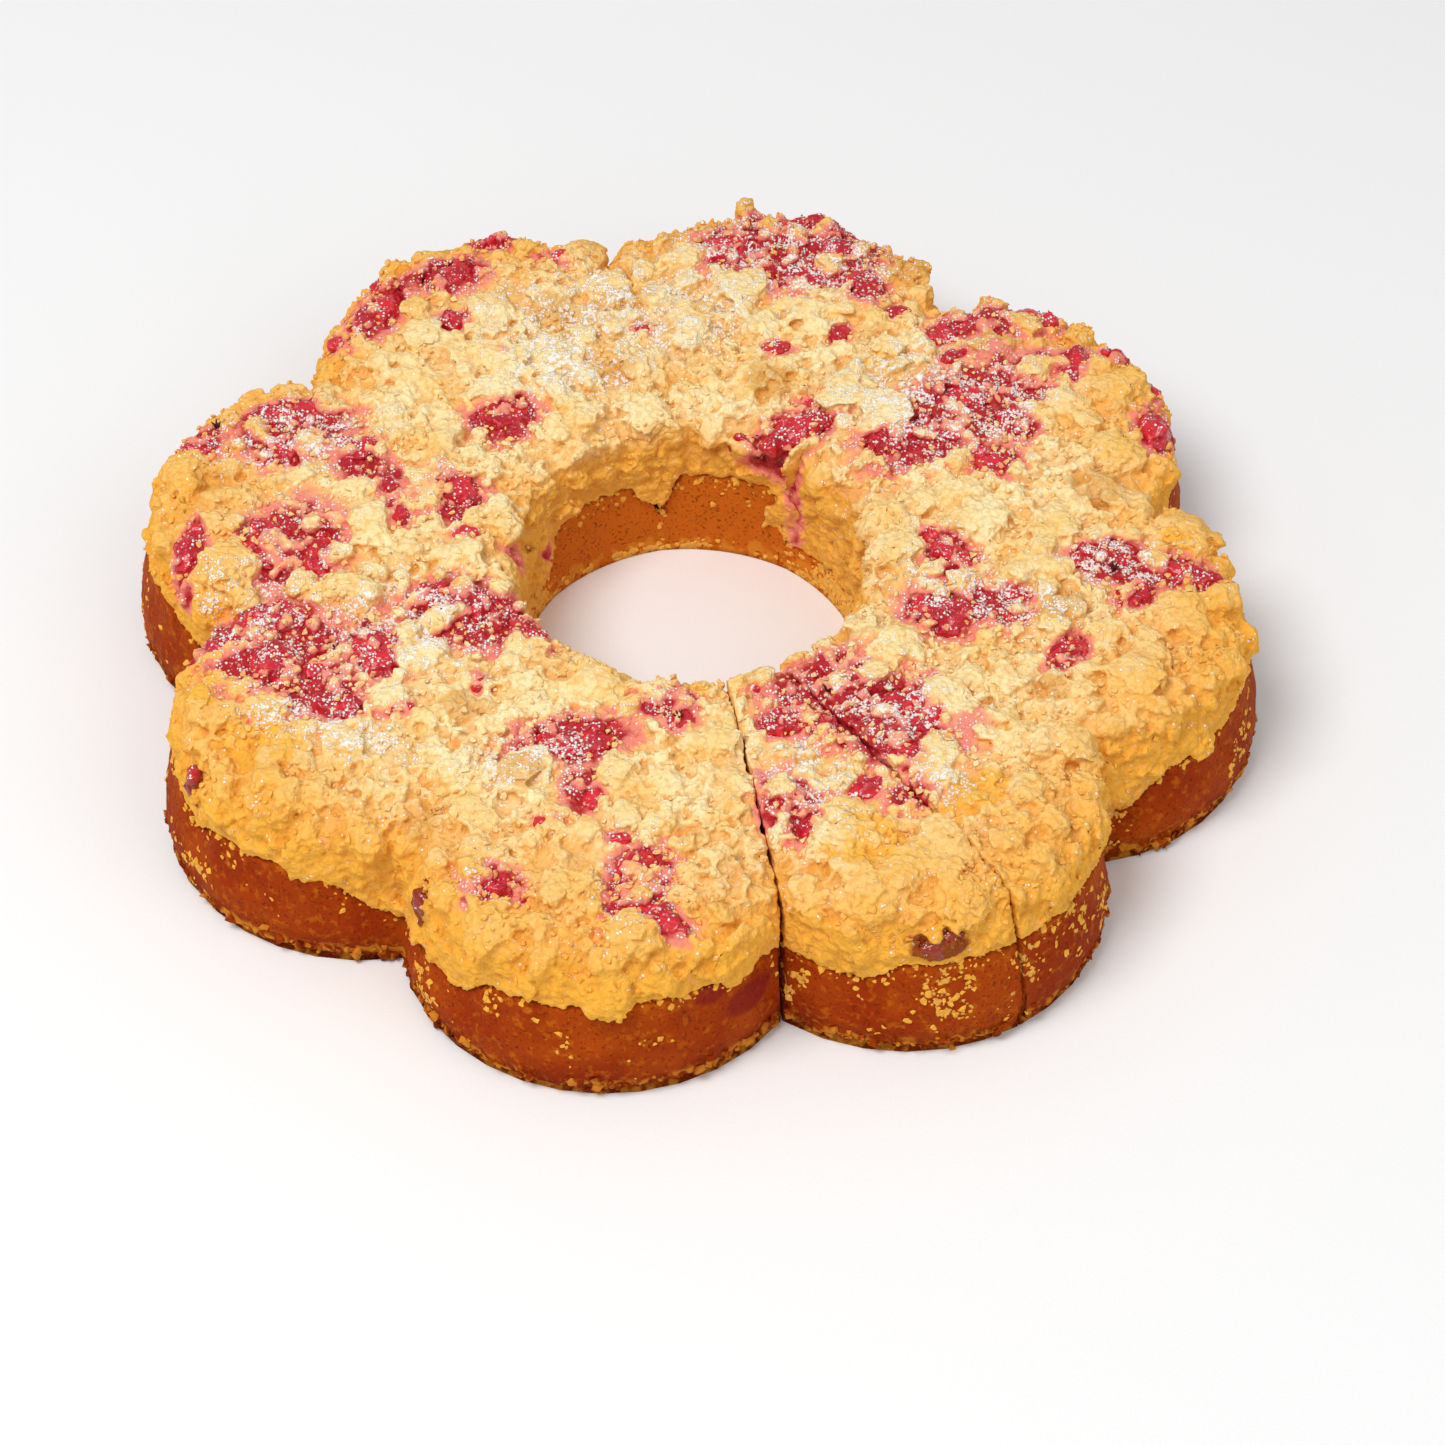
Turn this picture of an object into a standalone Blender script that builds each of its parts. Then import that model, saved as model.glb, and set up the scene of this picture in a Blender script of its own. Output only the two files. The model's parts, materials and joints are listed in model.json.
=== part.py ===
"""Redcurrant streusel ring cake, baked in a ring tin with eight petals.

A browned dough ring carries a layer of baked streusel. Redcurrants have burst and sunk
into the streusel in glossy patches. One slice has been cut and still sits in its place.

The cake rests on Z = 0 with its hole round the Z axis. Sizes at the top are millimetres
and degrees; directions count from +X towards +Y. Every body starts as a plain ring whose
height is a level (0 floor, 1 top of the dough, 2 top of the streusel), and one function
then gives that ring its petals, panels and heights.
"""
import math
import random

import bmesh
import bpy
from mathutils import Matrix, Vector, noise

MM = 0.001

# The tin: eight petals, each an arc round its own middle
PETALS = 8
PETAL_STEP = 360.0 / PETALS
HALF_PETAL = PETAL_STEP / 2
FRONT_PETAL = -102.3
PETAL_MIDDLE = 98.0
PETAL_RADIUS = 52.0
TIP_RADIUS = PETAL_MIDDLE + PETAL_RADIUS
HOLE_RADIUS = 44.0
PANEL_SWELL = 0.9
STEPS_PER_HALF_PETAL = 6

# The plain ring's radii from the foot up, before the petals are formed, and its levels
FOOT_RADIUS = 147.5
WALL_RADIUS = 149.0
EDGE_RADIUS = 145.5
BROW_RADIUS = 144.0
FOOT_LEVEL = 0.09
SKIRT_LEVEL = 1.45
LEVEL_HEIGHT = 20.0
INNER_EDGE_RADIUS = 44.8

# Heights of the layers
DOUGH_EDGE = 28.5
DOUGH_CROWN = 33.0
BROW_HEIGHT = 33.0
TOP_HEIGHT = 43.0
DOME = 1.0
OUTER_SHOULDER = 13.0
INNER_SHOULDER = 9.0
SHOULDER_TURNS = (35.0, 62.0)
INNER_SHOULDER_TURN = 50.0
TOP_ROWS = 8
VALLEY_DEPTH = 4.0
VALLEY_WIDTH = 5.0
VALLEY_REACH = 45.0

# How far the streusel runs down the wall, at the eight notches between the petals
# (from the notch right of the front petal, towards +Y) and in runs of its own
NOTCH_RUNS = (3.0, 16.0, 8.0, 12.0, 10.0, 13.0, 9.0, 16.0)
NOTCH_RUN_WIDTH = 5.0
RUNS = ((-148.0, 9.0, 3.0), (-114.0, 12.0, 4.0), (-73.0, 6.0, 3.0), (-22.0, 4.0, 3.0))
RUN_WAVE = 3.0
RUN_WAVE_LENGTH = 9.0
RUN_REACH = 20.0
# Height of the browned panel under the streusel in the hole, petal by petal
PANEL_HEIGHTS = (24.0, 22.0, 20.0, 8.0, 26.0, 24.0, 8.0, 20.0)
SEAM_HEIGHT = 12.0
SEAM_START = 0.72
INNER_RUN_REACH = 17.0

# Relief of the baked crumbs
BUMP_SIZE = 14.0
BUMP_HEIGHT = 4.0
CRUMB_SIZE = 7.5
CRUMB_HEIGHT = 2.0
SWELL_SIZE = 45.0
SWELL_HEIGHT = 1.4
WALL_RELIEF = 0.3
WALL_PUSH = 0.5
CRUST_RELIEF = 0.35
CRUST_GRAIN = 9.0

# Streusel lumps that stand out of the crumbs: x, y and size, then those strewn by rule
LUMPS = (
    (22.0, 63.0, 17), (45.0, 94.5, 13), (58.0, 111.0, 19), (17.5, 135.5, 12), (81.5, 89.0, 13),
    (82.0, 76.0, 14), (102.0, 21.0, 17), (-65.0, 32.5, 15), (-120.0, 39.0, 13),
    (-85.0, -22.0, 15), (-100.5, -87.5, 17), (-119.5, -60.0, 18), (89.0, -4.5, 14),
    (93.0, -25.0, 18), (54.0, -14.0, 12), (-86.0, 10.0, 13), (-41.0, -83.0, 15),
)
STREWN_LUMPS = 26
STREWN_SIZES = (10.0, 16.0)
LUMP_SPACE = 0.56
LUMP_FLATNESS = 0.75
LUMP_UNEVENNESS = 0.5
LUMP_GRAIN = 2.2
LUMP_RISE = -0.13
LUMP_CUT_SPACE = 1.5
LUMP_SEED = 11

# The two knife cuts: direction, and how far the cut's plane passes the ring's middle
CUT_GAP = 0.6
LEFT_CUT = -79.8
RIGHT_CUT = -55.5
RIGHT_CUT_OFFSET = 4.7
RIGHT_CUT_STATION = FRONT_PETAL + PETAL_STEP

LAYER_GAP = 0.4
FRUIT_GAP = 0.35

# Patches of fruit on the top: x, y, length, width, direction of the length
TOP_FRUIT = (
    # petal at the back left
    (-54.5, 127.5, 20, 13, 23), (-67.0, 108.5, 17, 9, 20), (-86.0, 92.0, 22, 11, 60),
    (-65.0, 88.5, 13, 7, 10), (-49.5, 50.0, 17, 16, 0),
    # left petal
    (-107.5, 51.0, 26, 12, 12), (-107.5, 35.0, 15, 13, 80), (-131.0, 38.0, 13, 11, 100),
    (-63.5, 21.5, 21, 10, -10), (-109.5, 1.5, 20, 14, 90), (-95.5, -3.5, 18, 9, 90),
    (-129.5, 0.5, 16, 6, 80),
    # petal at the front left
    (-106.5, -25.5, 22, 14, 10), (-103.0, -43.5, 20, 14, -50), (-88.0, -58.0, 20, 9, -30),
    (-79.0, -39.5, 20, 15, -60), (-58.5, -20.5, 25, 15, -15), (-40.5, -31.0, 16, 7, -60),
    # front petal
    (-29.0, -69.0, 26, 13, 20), (-13.0, -111.0, 13, 11, 60), (-9.5, -126.5, 19, 8, -25),
    (-45.0, -117.0, 13, 8, -35),
    # the slice
    (22.5, -63.5, 12, 10, 10), (32.4, -64.4, 22, 5, -56), (22.4, -91.5, 14, 6, -80),
    # petal at the front right, past the slice
    (54.0, -60.5, 23, 16, -20), (53.2, -75.5, 15, 8, -50), (34.0, -44.0, 11, 7, -55),
    # right petal
    (65.5, -1.5, 22, 10, -50), (63.5, -25.0, 20, 14, -30), (106.0, -4.0, 20, 11, 10),
    (126.5, -10.5, 18, 9, -25), (113.0, -18.5, 12, 9, 60), (94.5, -39.5, 14, 8, 55),
    # petal at the back right
    (71.0, 87.0, 23, 9, 35), (94.5, 93.0, 15, 11, -20), (104.5, 71.0, 14, 9, 70),
    (116.0, 77.5, 8, 7, 0), (124.0, 47.0, 15, 10, 80), (90.5, 68.5, 20, 8, 50),
    (72.5, 56.5, 17, 11, 20), (86.0, 47.5, 15, 10, -60), (79.5, 31.5, 14, 12, 80),
    (54.0, 42.5, 21, 10, 33),
    # back petal
    (28.5, 45.5, 25, 9, 33), (10.5, 121.0, 21, 17, 30), (36.0, 134.0, 20, 9, -15),
    (41.5, 120.0, 14, 10, -60), (48.0, 103.5, 20, 12, -70), (30.5, 106.5, 15, 13, 0),
)
# Fruit showing in a wall: direction, height, length, width, lean of the length from level
WALL_FRUIT = ((-148.0, 34.0, 10, 7, 80), (-119.5, 34.0, 10, 5, 85), (-65.0, 35.0, 13, 5, 10))
HOLE_FRUIT = ((72.0, 38.0, 9, 8, 60),)
WALL_FRUIT_DEPTH = 3.2
FRUIT_SIDES = 7
# Rings of one patch: part of its size, and height as a part of its depth
FRUIT_RINGS = ((0.8, -1.0), (1.0, -0.15), (0.62, 0.26))
FRUIT_TOP = 0.34
FRUIT_LUMPS = 0.12
FRUIT_LUMP_GRAIN = 1.6
FRUIT_DEPTH = 5.5
POCKET_MOUTH = 9.0
POCKET_FLARE = 1.06

MATERIALS = {
    "crust": ((0.42, 0.13, 0.025, 1.0), 0.62),
    "streusel": ((0.85, 0.55, 0.19, 1.0), 0.85),
    "currant": ((0.30, 0.008, 0.018, 1.0), 0.25),
}


def clear_scene():
    """Remove whatever the file starts with."""
    for item in list(bpy.data.objects):
        bpy.data.objects.remove(item, do_unlink=True)


def make_material(name):
    """One Principled material from the table above."""
    colour, roughness = MATERIALS[name]
    material = bpy.data.materials.new(name)
    material.use_nodes = True
    shader = material.node_tree.nodes["Principled BSDF"]
    shader.inputs["Base Color"].default_value = colour
    shader.inputs["Roughness"].default_value = roughness
    shader.inputs["Metallic"].default_value = 0.0
    return material


def mix(low, high, share):
    """Value between low and high."""
    return low + (high - low) * share


def ease(share):
    """Share held between 0 and 1 and eased at both ends."""
    share = min(max(share, 0.0), 1.0)
    return share * share * (3.0 - 2.0 * share)


def bell(distance, width):
    """1 at no distance, falling away over the width."""
    return math.exp(-(distance / width) ** 2)


def turn_between(first, second):
    """Smallest turn from one direction to another, in degrees."""
    return (first - second + 180.0) % 360.0 - 180.0


def nearest_petal(angle):
    """Number of the nearest petal, and the turn from its middle line."""
    number = round((angle - FRONT_PETAL) / PETAL_STEP)
    return number % PETALS, angle - FRONT_PETAL - number * PETAL_STEP


def outline(angle):
    """Radius of the flower at its foot."""
    swing = math.radians(nearest_petal(angle)[1])
    reach = math.sqrt(PETAL_RADIUS ** 2 - (PETAL_MIDDLE * math.sin(swing)) ** 2)
    return PETAL_MIDDLE * math.cos(swing) + reach


def hole(angle):
    """Radius of the hole, whose eight panels swell towards the middle."""
    swing = nearest_petal(angle)[1] / HALF_PETAL
    return HOLE_RADIUS + PANEL_SWELL * (2.0 * swing * swing - 1.0)


def radius_at(angle, plain):
    """Radius of the petalled cake at a radius of the plain ring."""
    share = (plain - HOLE_RADIUS) / (TIP_RADIUS - HOLE_RADIUS)
    return mix(hole(angle), outline(angle), share)


def plain_at(angle, radius):
    """Radius of the plain ring at a radius of the petalled cake."""
    share = (radius - hole(angle)) / (outline(angle) - hole(angle))
    return mix(HOLE_RADIUS, TIP_RADIUS, share)


def outer_run(angle):
    """How far the streusel has run down the outer wall."""
    run = RUN_WAVE * noise.noise(Vector((angle / RUN_WAVE_LENGTH, 0.0, 0.0)))
    for number, depth in enumerate(NOTCH_RUNS):
        notch = FRONT_PETAL + HALF_PETAL + number * PETAL_STEP
        run += depth * bell(turn_between(angle, notch), NOTCH_RUN_WIDTH)
    for place, depth, width in RUNS:
        run += depth * bell(turn_between(angle, place), width)
    return run


def inner_run(angle):
    """How far the streusel has run down the wall of the hole."""
    number, swing = nearest_petal(angle)
    seam = ease((abs(swing) / HALF_PETAL - SEAM_START) / (1.0 - SEAM_START))
    low = min(PANEL_HEIGHTS[number], SEAM_HEIGHT)
    return DOUGH_EDGE - mix(PANEL_HEIGHTS[number], low, seam)


def dough_top(angle, plain):
    """Height of the dough under the streusel."""
    share = (plain - INNER_EDGE_RADIUS) / (EDGE_RADIUS - INNER_EDGE_RADIUS)
    height = mix(DOUGH_EDGE, DOUGH_CROWN, math.sin(math.pi * min(max(share, 0.0), 1.0)))
    height -= outer_run(angle) * ease(1.0 - (EDGE_RADIUS - plain) / RUN_REACH)
    height -= inner_run(angle) * ease(1.0 - (plain - INNER_EDGE_RADIUS) / INNER_RUN_REACH)
    return height


def shoulder(inset, width):
    """Share of the shoulder's height that is reached at an inset from the wall."""
    share = min(max(1.0 - inset / width, 0.0), 1.0)
    return math.sqrt(1.0 - share * share)


def crown(angle, plain):
    """Height of the streusel without its crumbs."""
    share = (plain - INNER_EDGE_RADIUS) / (BROW_RADIUS - INNER_EDGE_RADIUS)
    top = TOP_HEIGHT + DOME * math.sin(math.pi * min(max(share, 0.0), 1.0))
    notch = HALF_PETAL - abs(nearest_petal(angle)[1])
    top -= VALLEY_DEPTH * bell(notch, VALLEY_WIDTH) * ease(1.0 - (BROW_RADIUS - plain) / VALLEY_REACH)
    rise = shoulder(BROW_RADIUS - plain, OUTER_SHOULDER)
    rise = min(rise, shoulder(plain - INNER_EDGE_RADIUS, INNER_SHOULDER))
    return mix(BROW_HEIGHT, top, rise)


def crumbs(place):
    """Relief of the baked crumbs at a place given in millimetres."""
    bump = 0.5 - noise.voronoi(place / BUMP_SIZE)[0][0]
    crumb = 0.5 - noise.voronoi(place / CRUMB_SIZE)[0][0]
    swell = noise.noise(place / SWELL_SIZE)
    return BUMP_HEIGHT * bump + CRUMB_HEIGHT * crumb + SWELL_HEIGHT * swell


def relief(plain, level, place):
    """Outward and upward shift that the crumbs give a point of the streusel."""
    outward = 1.0 - shoulder(BROW_RADIUS - plain, OUTER_SHOULDER)
    inward = 1.0 - shoulder(plain - INNER_EDGE_RADIUS, INNER_SHOULDER)
    wall = max(outward, inward)
    amount = crumbs(place) * mix(1.0, WALL_RELIEF, wall) * ease(level - 1.0)
    side = 1.0 if outward > inward else -1.0
    return amount * side * wall * WALL_PUSH, amount * (1.0 - wall)


def sheared(angle, radius, side):
    """Direction of a point, drawn over so that the stations beside a cut lie in its plane."""
    cuts = ((LEFT_CUT, LEFT_CUT, 0.0), (RIGHT_CUT_STATION, RIGHT_CUT, RIGHT_CUT_OFFSET))
    for station, direction, offset in cuts:
        turn = turn_between(angle, station)
        near = max(0.0, 1.0 - abs(turn) / HALF_PETAL)
        if near > 0.0 and turn * side(station) >= -0.01:
            reach = offset - side(station) * CUT_GAP / 2
            plane = direction - math.degrees(math.asin(reach / radius))
            angle += near * turn_between(plane, station)
    return angle


def ring_side(station):
    """The ring lies clockwise of the left cut and anticlockwise of the right one."""
    return -1.0 if station == LEFT_CUT else 1.0


def slice_side(station):
    """The slice lies on the other side of both cuts."""
    return -ring_side(station)


def form_point(point, side, layer):
    """Place on the cake for a point of the plain ring, in metres."""
    x, y, z = point / MM
    plain = math.hypot(x, y)
    angle = math.degrees(math.atan2(y, x))
    level = z / LEVEL_HEIGHT
    radius = radius_at(angle, plain)
    if layer == "dough":
        height = dough_top(angle, plain) * level
        rough = CRUST_RELIEF * noise.noise(Vector((x, y, height)) / CRUST_GRAIN)
        radius -= abs(rough) * ease(8.0 * level * (1.0 - level))
    else:
        base = dough_top(angle, plain) + LAYER_GAP
        height = mix(base, crown(angle, plain), level - 1.0)
        place = Matrix.Rotation(math.radians(angle), 3, "Z") @ Vector((radius, 0.0, height))
        outward, upward = relief(plain, level, place)
        radius += outward
        height += upward
    turned = math.radians(sheared(angle, radius, side))
    return Vector((radius * math.cos(turned), radius * math.sin(turned), height)) * MM


def dough_profile():
    """Points (radius, level) round the dough's section, from the foot of the hole."""
    return (
        (HOLE_RADIUS, 0.0), (FOOT_RADIUS, 0.0), (TIP_RADIUS, FOOT_LEVEL), (WALL_RADIUS, 0.5),
        (EDGE_RADIUS, 1.0), (PETAL_MIDDLE, 1.0), (INNER_EDGE_RADIUS, 1.0), (HOLE_RADIUS, 0.5),
    )


def streusel_profile():
    """Points (radius, level) round the streusel's section, from its inner lower edge."""
    points = [(INNER_EDGE_RADIUS, 1.0), (PETAL_MIDDLE, 1.0), (EDGE_RADIUS, 1.0)]
    points += [((EDGE_RADIUS + BROW_RADIUS) / 2, SKIRT_LEVEL), (BROW_RADIUS, 2.0)]
    outer_middle = BROW_RADIUS - OUTER_SHOULDER
    inner_middle = INNER_EDGE_RADIUS + INNER_SHOULDER
    for turn in SHOULDER_TURNS:
        points.append((outer_middle + OUTER_SHOULDER * math.cos(math.radians(turn)), 2.0))
    for row in range(TOP_ROWS + 1):
        points.append((mix(outer_middle, inner_middle, row / TOP_ROWS), 2.0))
    points.append((inner_middle - INNER_SHOULDER * math.cos(math.radians(INNER_SHOULDER_TURN)), 2.0))
    points.append((INNER_EDGE_RADIUS + 0.05, 2.0))
    return points


def split_quads(bm, start):
    """Split every quad along the same diagonal, so that layers on each other stay parallel."""
    def station(vert):
        turn = math.degrees(math.atan2(vert.co.y, vert.co.x)) - start
        return round((turn + 1.0) % 360.0, 2)

    def reach(vert):
        return round(vert.co.xy.length / MM + vert.co.z / MM / LEVEL_HEIGHT, 3)

    for face in [face for face in bm.faces if len(face.verts) == 4]:
        corners = sorted(face.verts, key=lambda vert: (station(vert), reach(vert)))
        bmesh.utils.face_split(face, corners[0], corners[3])


def make_layer(name, profile, start, half_petals, side, layer, material):
    """One layer of the ring or of the slice, as a closed body."""
    bm = bmesh.new()
    first = math.radians(start)
    loop = []
    for plain, level in profile:
        place = (plain * math.cos(first) * MM, plain * math.sin(first) * MM, level * LEVEL_HEIGHT * MM)
        loop.append(bm.verts.new(place))
    edges = [bm.edges.new((loop[i], loop[(i + 1) % len(loop)])) for i in range(len(loop))]
    turn = math.radians(half_petals * HALF_PETAL)
    spun = bmesh.ops.spin(
        bm, geom=loop + edges, cent=(0, 0, 0), axis=(0, 0, 1), angle=turn,
        steps=half_petals * STEPS_PER_HALF_PETAL, use_duplicate=False)
    last = [item for item in spun["geom_last"] if isinstance(item, bmesh.types.BMVert)]
    split_quads(bm, start)
    ends = [edge for edge in bm.edges if edge.is_boundary]
    for ring in (set(loop), set(last)):
        rim = [edge for edge in ends if edge.verts[0] in ring and edge.verts[1] in ring]
        bmesh.ops.contextual_create(bm, geom=rim)
    for vert in bm.verts:
        vert.co = form_point(vert.co, side, layer)
    caps = [face for face in bm.faces if len(face.verts) > 3]
    bmesh.ops.triangulate(bm, faces=caps)
    bmesh.ops.recalc_face_normals(bm, faces=bm.faces)
    return finish_body(name, bm, material)


def finish_body(name, bm, material):
    """Turn a bmesh into a named object with its material."""
    mesh = bpy.data.meshes.new(name)
    bm.to_mesh(mesh)
    bm.free()
    mesh.materials.append(material)
    mesh.shade_smooth()
    mesh.set_sharp_from_angle(angle=math.radians(50.0))
    body = bpy.data.objects.new(name, mesh)
    bpy.context.scene.collection.objects.link(body)
    return body


def patch_body(frame, length, width, depth, seed, swell, mouth):
    """A lumpy flat patch of fruit, or the pocket that holds it when it has a mouth."""
    rings = list(FRUIT_RINGS)
    if mouth:
        rings = rings[:2] + [(POCKET_FLARE, mouth / depth)]
    bm = bmesh.new()
    loops = []
    for number, (size, height) in enumerate(rings):
        lower = swell if number == 0 else 0.0
        loop = []
        for corner in range(FRUIT_SIDES):
            turn = 2.0 * math.pi * corner / FRUIT_SIDES
            spot = Vector((math.cos(turn), math.sin(turn), seed)) * FRUIT_LUMP_GRAIN
            lump = 1.0 + FRUIT_LUMPS * noise.noise(spot)
            along = (size * lump * length / 2 + swell) * math.cos(turn)
            across = (size * lump * width / 2 + swell) * math.sin(turn)
            place = Vector((along, across, height * depth - lower))
            loop.append(bm.verts.new(frame @ (place * MM)))
        loops.append(loop)
    for low, high in zip(loops, loops[1:]):
        for corner in range(FRUIT_SIDES):
            after = (corner + 1) % FRUIT_SIDES
            bm.faces.new((low[corner], low[after], high[after], high[corner]))
    bm.faces.new(list(reversed(loops[0])))
    if mouth:
        bm.faces.new(loops[-1])
    else:
        tip = bm.verts.new(frame @ Vector((0.0, 0.0, FRUIT_TOP * depth * MM)))
        for corner in range(FRUIT_SIDES):
            bm.faces.new((loops[-1][corner], loops[-1][(corner + 1) % FRUIT_SIDES], tip))
    bmesh.ops.triangulate(bm, faces=[face for face in bm.faces if len(face.verts) > 3])
    bmesh.ops.recalc_face_normals(bm, faces=bm.faces)
    return bm


def surface_frame(place, normal, along):
    """Axes on the surface: X along the patch, Z out of the cake."""
    normal = normal.normalized()
    along = (along - normal * along.dot(normal)).normalized()
    across = normal.cross(along)
    turned = Matrix((along, across, normal)).transposed().to_4x4()
    return Matrix.Translation(place * MM) @ turned


def top_place(x, y):
    """Point of the smooth streusel over x and y."""
    angle = math.degrees(math.atan2(y, x))
    return Vector((x, y, crown(angle, plain_at(angle, math.hypot(x, y)))))


def top_frame(x, y, direction):
    """Axes of a patch on the top."""
    here = top_place(x, y)
    normal = (top_place(x + 2.0, y) - here).cross(top_place(x, y + 2.0) - here)
    turn = math.radians(direction)
    return surface_frame(here, normal, Vector((math.cos(turn), math.sin(turn), 0.0)))


def wall_frame(angle, height, lean, plain, outward):
    """Axes of a patch in a wall."""
    turn = math.radians(angle)
    radial = Vector((math.cos(turn), math.sin(turn), 0.0))
    level = Vector((-math.sin(turn), math.cos(turn), 0.0))
    rise = math.radians(lean)
    place = radial * radius_at(angle, plain) + Vector((0.0, 0.0, height))
    along = level * math.cos(rise) + Vector((0.0, 0.0, math.sin(rise)))
    return surface_frame(place, radial * outward, along)


def all_fruit():
    """Frame, length, width, depth and mouth of every patch."""
    for x, y, length, width, direction in TOP_FRUIT:
        depth = min(FRUIT_DEPTH, 0.6 * width)
        yield top_frame(x, y, direction), length, width, depth, POCKET_MOUTH
    for angle, height, length, width, lean in WALL_FRUIT:
        frame = wall_frame(angle, height, lean, BROW_RADIUS, 1.0)
        yield frame, length, width, WALL_FRUIT_DEPTH, POCKET_MOUTH / 2
    for angle, height, length, width, lean in HOLE_FRUIT:
        frame = wall_frame(angle, height, lean, INNER_EDGE_RADIUS, -1.0)
        yield frame, length, width, WALL_FRUIT_DEPTH, POCKET_MOUTH / 2


def clear_of_cuts(x, y, room):
    """Whether a place keeps its room from both knife cuts."""
    for direction, offset in ((LEFT_CUT, 0.0), (RIGHT_CUT, RIGHT_CUT_OFFSET)):
        turn = math.radians(direction)
        ahead = x * math.cos(turn) + y * math.sin(turn)
        aside = y * math.cos(turn) - x * math.sin(turn) + offset
        if ahead > 0.0 and abs(aside) < room:
            return False
    return True


def all_lumps():
    """Place and size of every streusel lump: the named ones, then those strewn by rule."""
    kept = list(LUMPS)
    draw = random.Random(LUMP_SEED)
    while len(kept) < len(LUMPS) + STREWN_LUMPS:
        size = mix(*STREWN_SIZES, draw.random())
        angle = draw.uniform(-180.0, 180.0)
        radius = radius_at(angle, draw.uniform(INNER_EDGE_RADIUS + 8.0, BROW_RADIUS - 6.0))
        x = radius * math.cos(math.radians(angle))
        y = radius * math.sin(math.radians(angle))
        apart = all(math.hypot(x - a, y - b) > LUMP_SPACE * (size + other) for a, b, other in kept)
        fruit = all(
            math.hypot(x - a, y - b) > 0.5 * size + 0.27 * (length + width)
            for a, b, length, width, direction in TOP_FRUIT)
        if apart and fruit and clear_of_cuts(x, y, size / 2 + LUMP_CUT_SPACE):
            kept.append((x, y, size))
    return kept


def lump_body(x, y, size, seed):
    """One uneven lump, set into the crumbs."""
    here = top_place(x, y)
    here.z += crumbs(here) + LUMP_RISE * size
    bm = bmesh.new()
    bmesh.ops.create_icosphere(bm, subdivisions=1, radius=size / 2)
    for vert in bm.verts:
        spot = LUMP_GRAIN * vert.co / size + Vector((0.0, 0.0, LUMP_GRAIN * seed))
        swell = 1.0 + LUMP_UNEVENNESS * noise.noise(spot)
        vert.co = vert.co * swell
        vert.co.z *= LUMP_FLATNESS
        vert.co = (vert.co + here) * MM
    return bm


def fuse_lumps(body, lumps):
    """Join the lumps of a collection to the layer that they lie on, and remove them."""
    fuse = body.modifiers.new("lumps", "BOOLEAN")
    fuse.operation = "UNION"
    fuse.operand_type = "COLLECTION"
    fuse.collection = lumps
    bpy.context.view_layer.objects.active = body
    bpy.ops.object.modifier_apply(modifier=fuse.name)
    for lump in list(lumps.objects):
        bpy.data.objects.remove(lump, do_unlink=True)


def cut_pockets(body, pockets):
    """Cut all the fruit's pockets out of a layer."""
    cut = body.modifiers.new("pockets", "BOOLEAN")
    cut.operation = "DIFFERENCE"
    cut.operand_type = "COLLECTION"
    cut.collection = pockets


def new_collection(name):
    """A collection in the scene."""
    made = bpy.data.collections.new(name)
    bpy.context.scene.collection.children.link(made)
    return made


def put_in(body, collection):
    """Move a body from the scene's own collection to another."""
    bpy.context.scene.collection.objects.unlink(body)
    collection.objects.link(body)


def make_fruit(pockets, material):
    """Every patch of fruit, with the cutter of its pocket."""
    for number, (frame, length, width, depth, mouth) in enumerate(all_fruit(), 1):
        patch = patch_body(frame, length, width, depth, number, 0.0, 0.0)
        finish_body(f"currants_{number:02d}", patch, material)
        pocket = patch_body(frame, length, width, depth, number, FRUIT_GAP, mouth)
        cutter = finish_body(f"pocket_{number:02d}", pocket, material)
        put_in(cutter, pockets)
        cutter.hide_render = True
        cutter.display_type = "WIRE"


def in_slice(x, y):
    """Whether a place lies between the two cuts."""
    return LEFT_CUT < math.degrees(math.atan2(y, x)) < RIGHT_CUT_STATION


def build():
    """Model the whole cake."""
    clear_scene()
    crust = make_material("crust")
    streusel = make_material("streusel")
    currant = make_material("currant")
    lumps = all_lumps()
    pockets = new_collection("pockets")
    make_fruit(pockets, currant)
    pieces = (
        ("ring", RIGHT_CUT_STATION, 2 * PETALS - 1, ring_side),
        ("slice", LEFT_CUT, 1, slice_side),
    )
    for piece, start, halves, side in pieces:
        make_layer(f"{piece}_dough", dough_profile(), start, halves, side, "dough", crust)
        profile = streusel_profile()
        top = make_layer(f"{piece}_streusel", profile, start, halves, side, "streusel", streusel)
        strewn = new_collection(f"{piece}_lumps")
        for seed, (x, y, size) in enumerate(lumps):
            if in_slice(x, y) == (piece == "slice"):
                put_in(finish_body(f"lump_{seed:02d}", lump_body(x, y, size, seed), streusel), strewn)
        fuse_lumps(top, strewn)
        cut_pockets(top, pockets)


build()
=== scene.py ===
"""Looks of the redcurrant streusel ring cake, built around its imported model.

The browned dough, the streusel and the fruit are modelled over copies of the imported
model's own pieces, so every place follows from the frame. Sizes in the script are
millimetres and degrees; directions count from +X towards +Y.
"""

import json
import math

import bpy
import numpy as np
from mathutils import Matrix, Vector, noise
from mathutils.bvhtree import BVHTree

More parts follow.
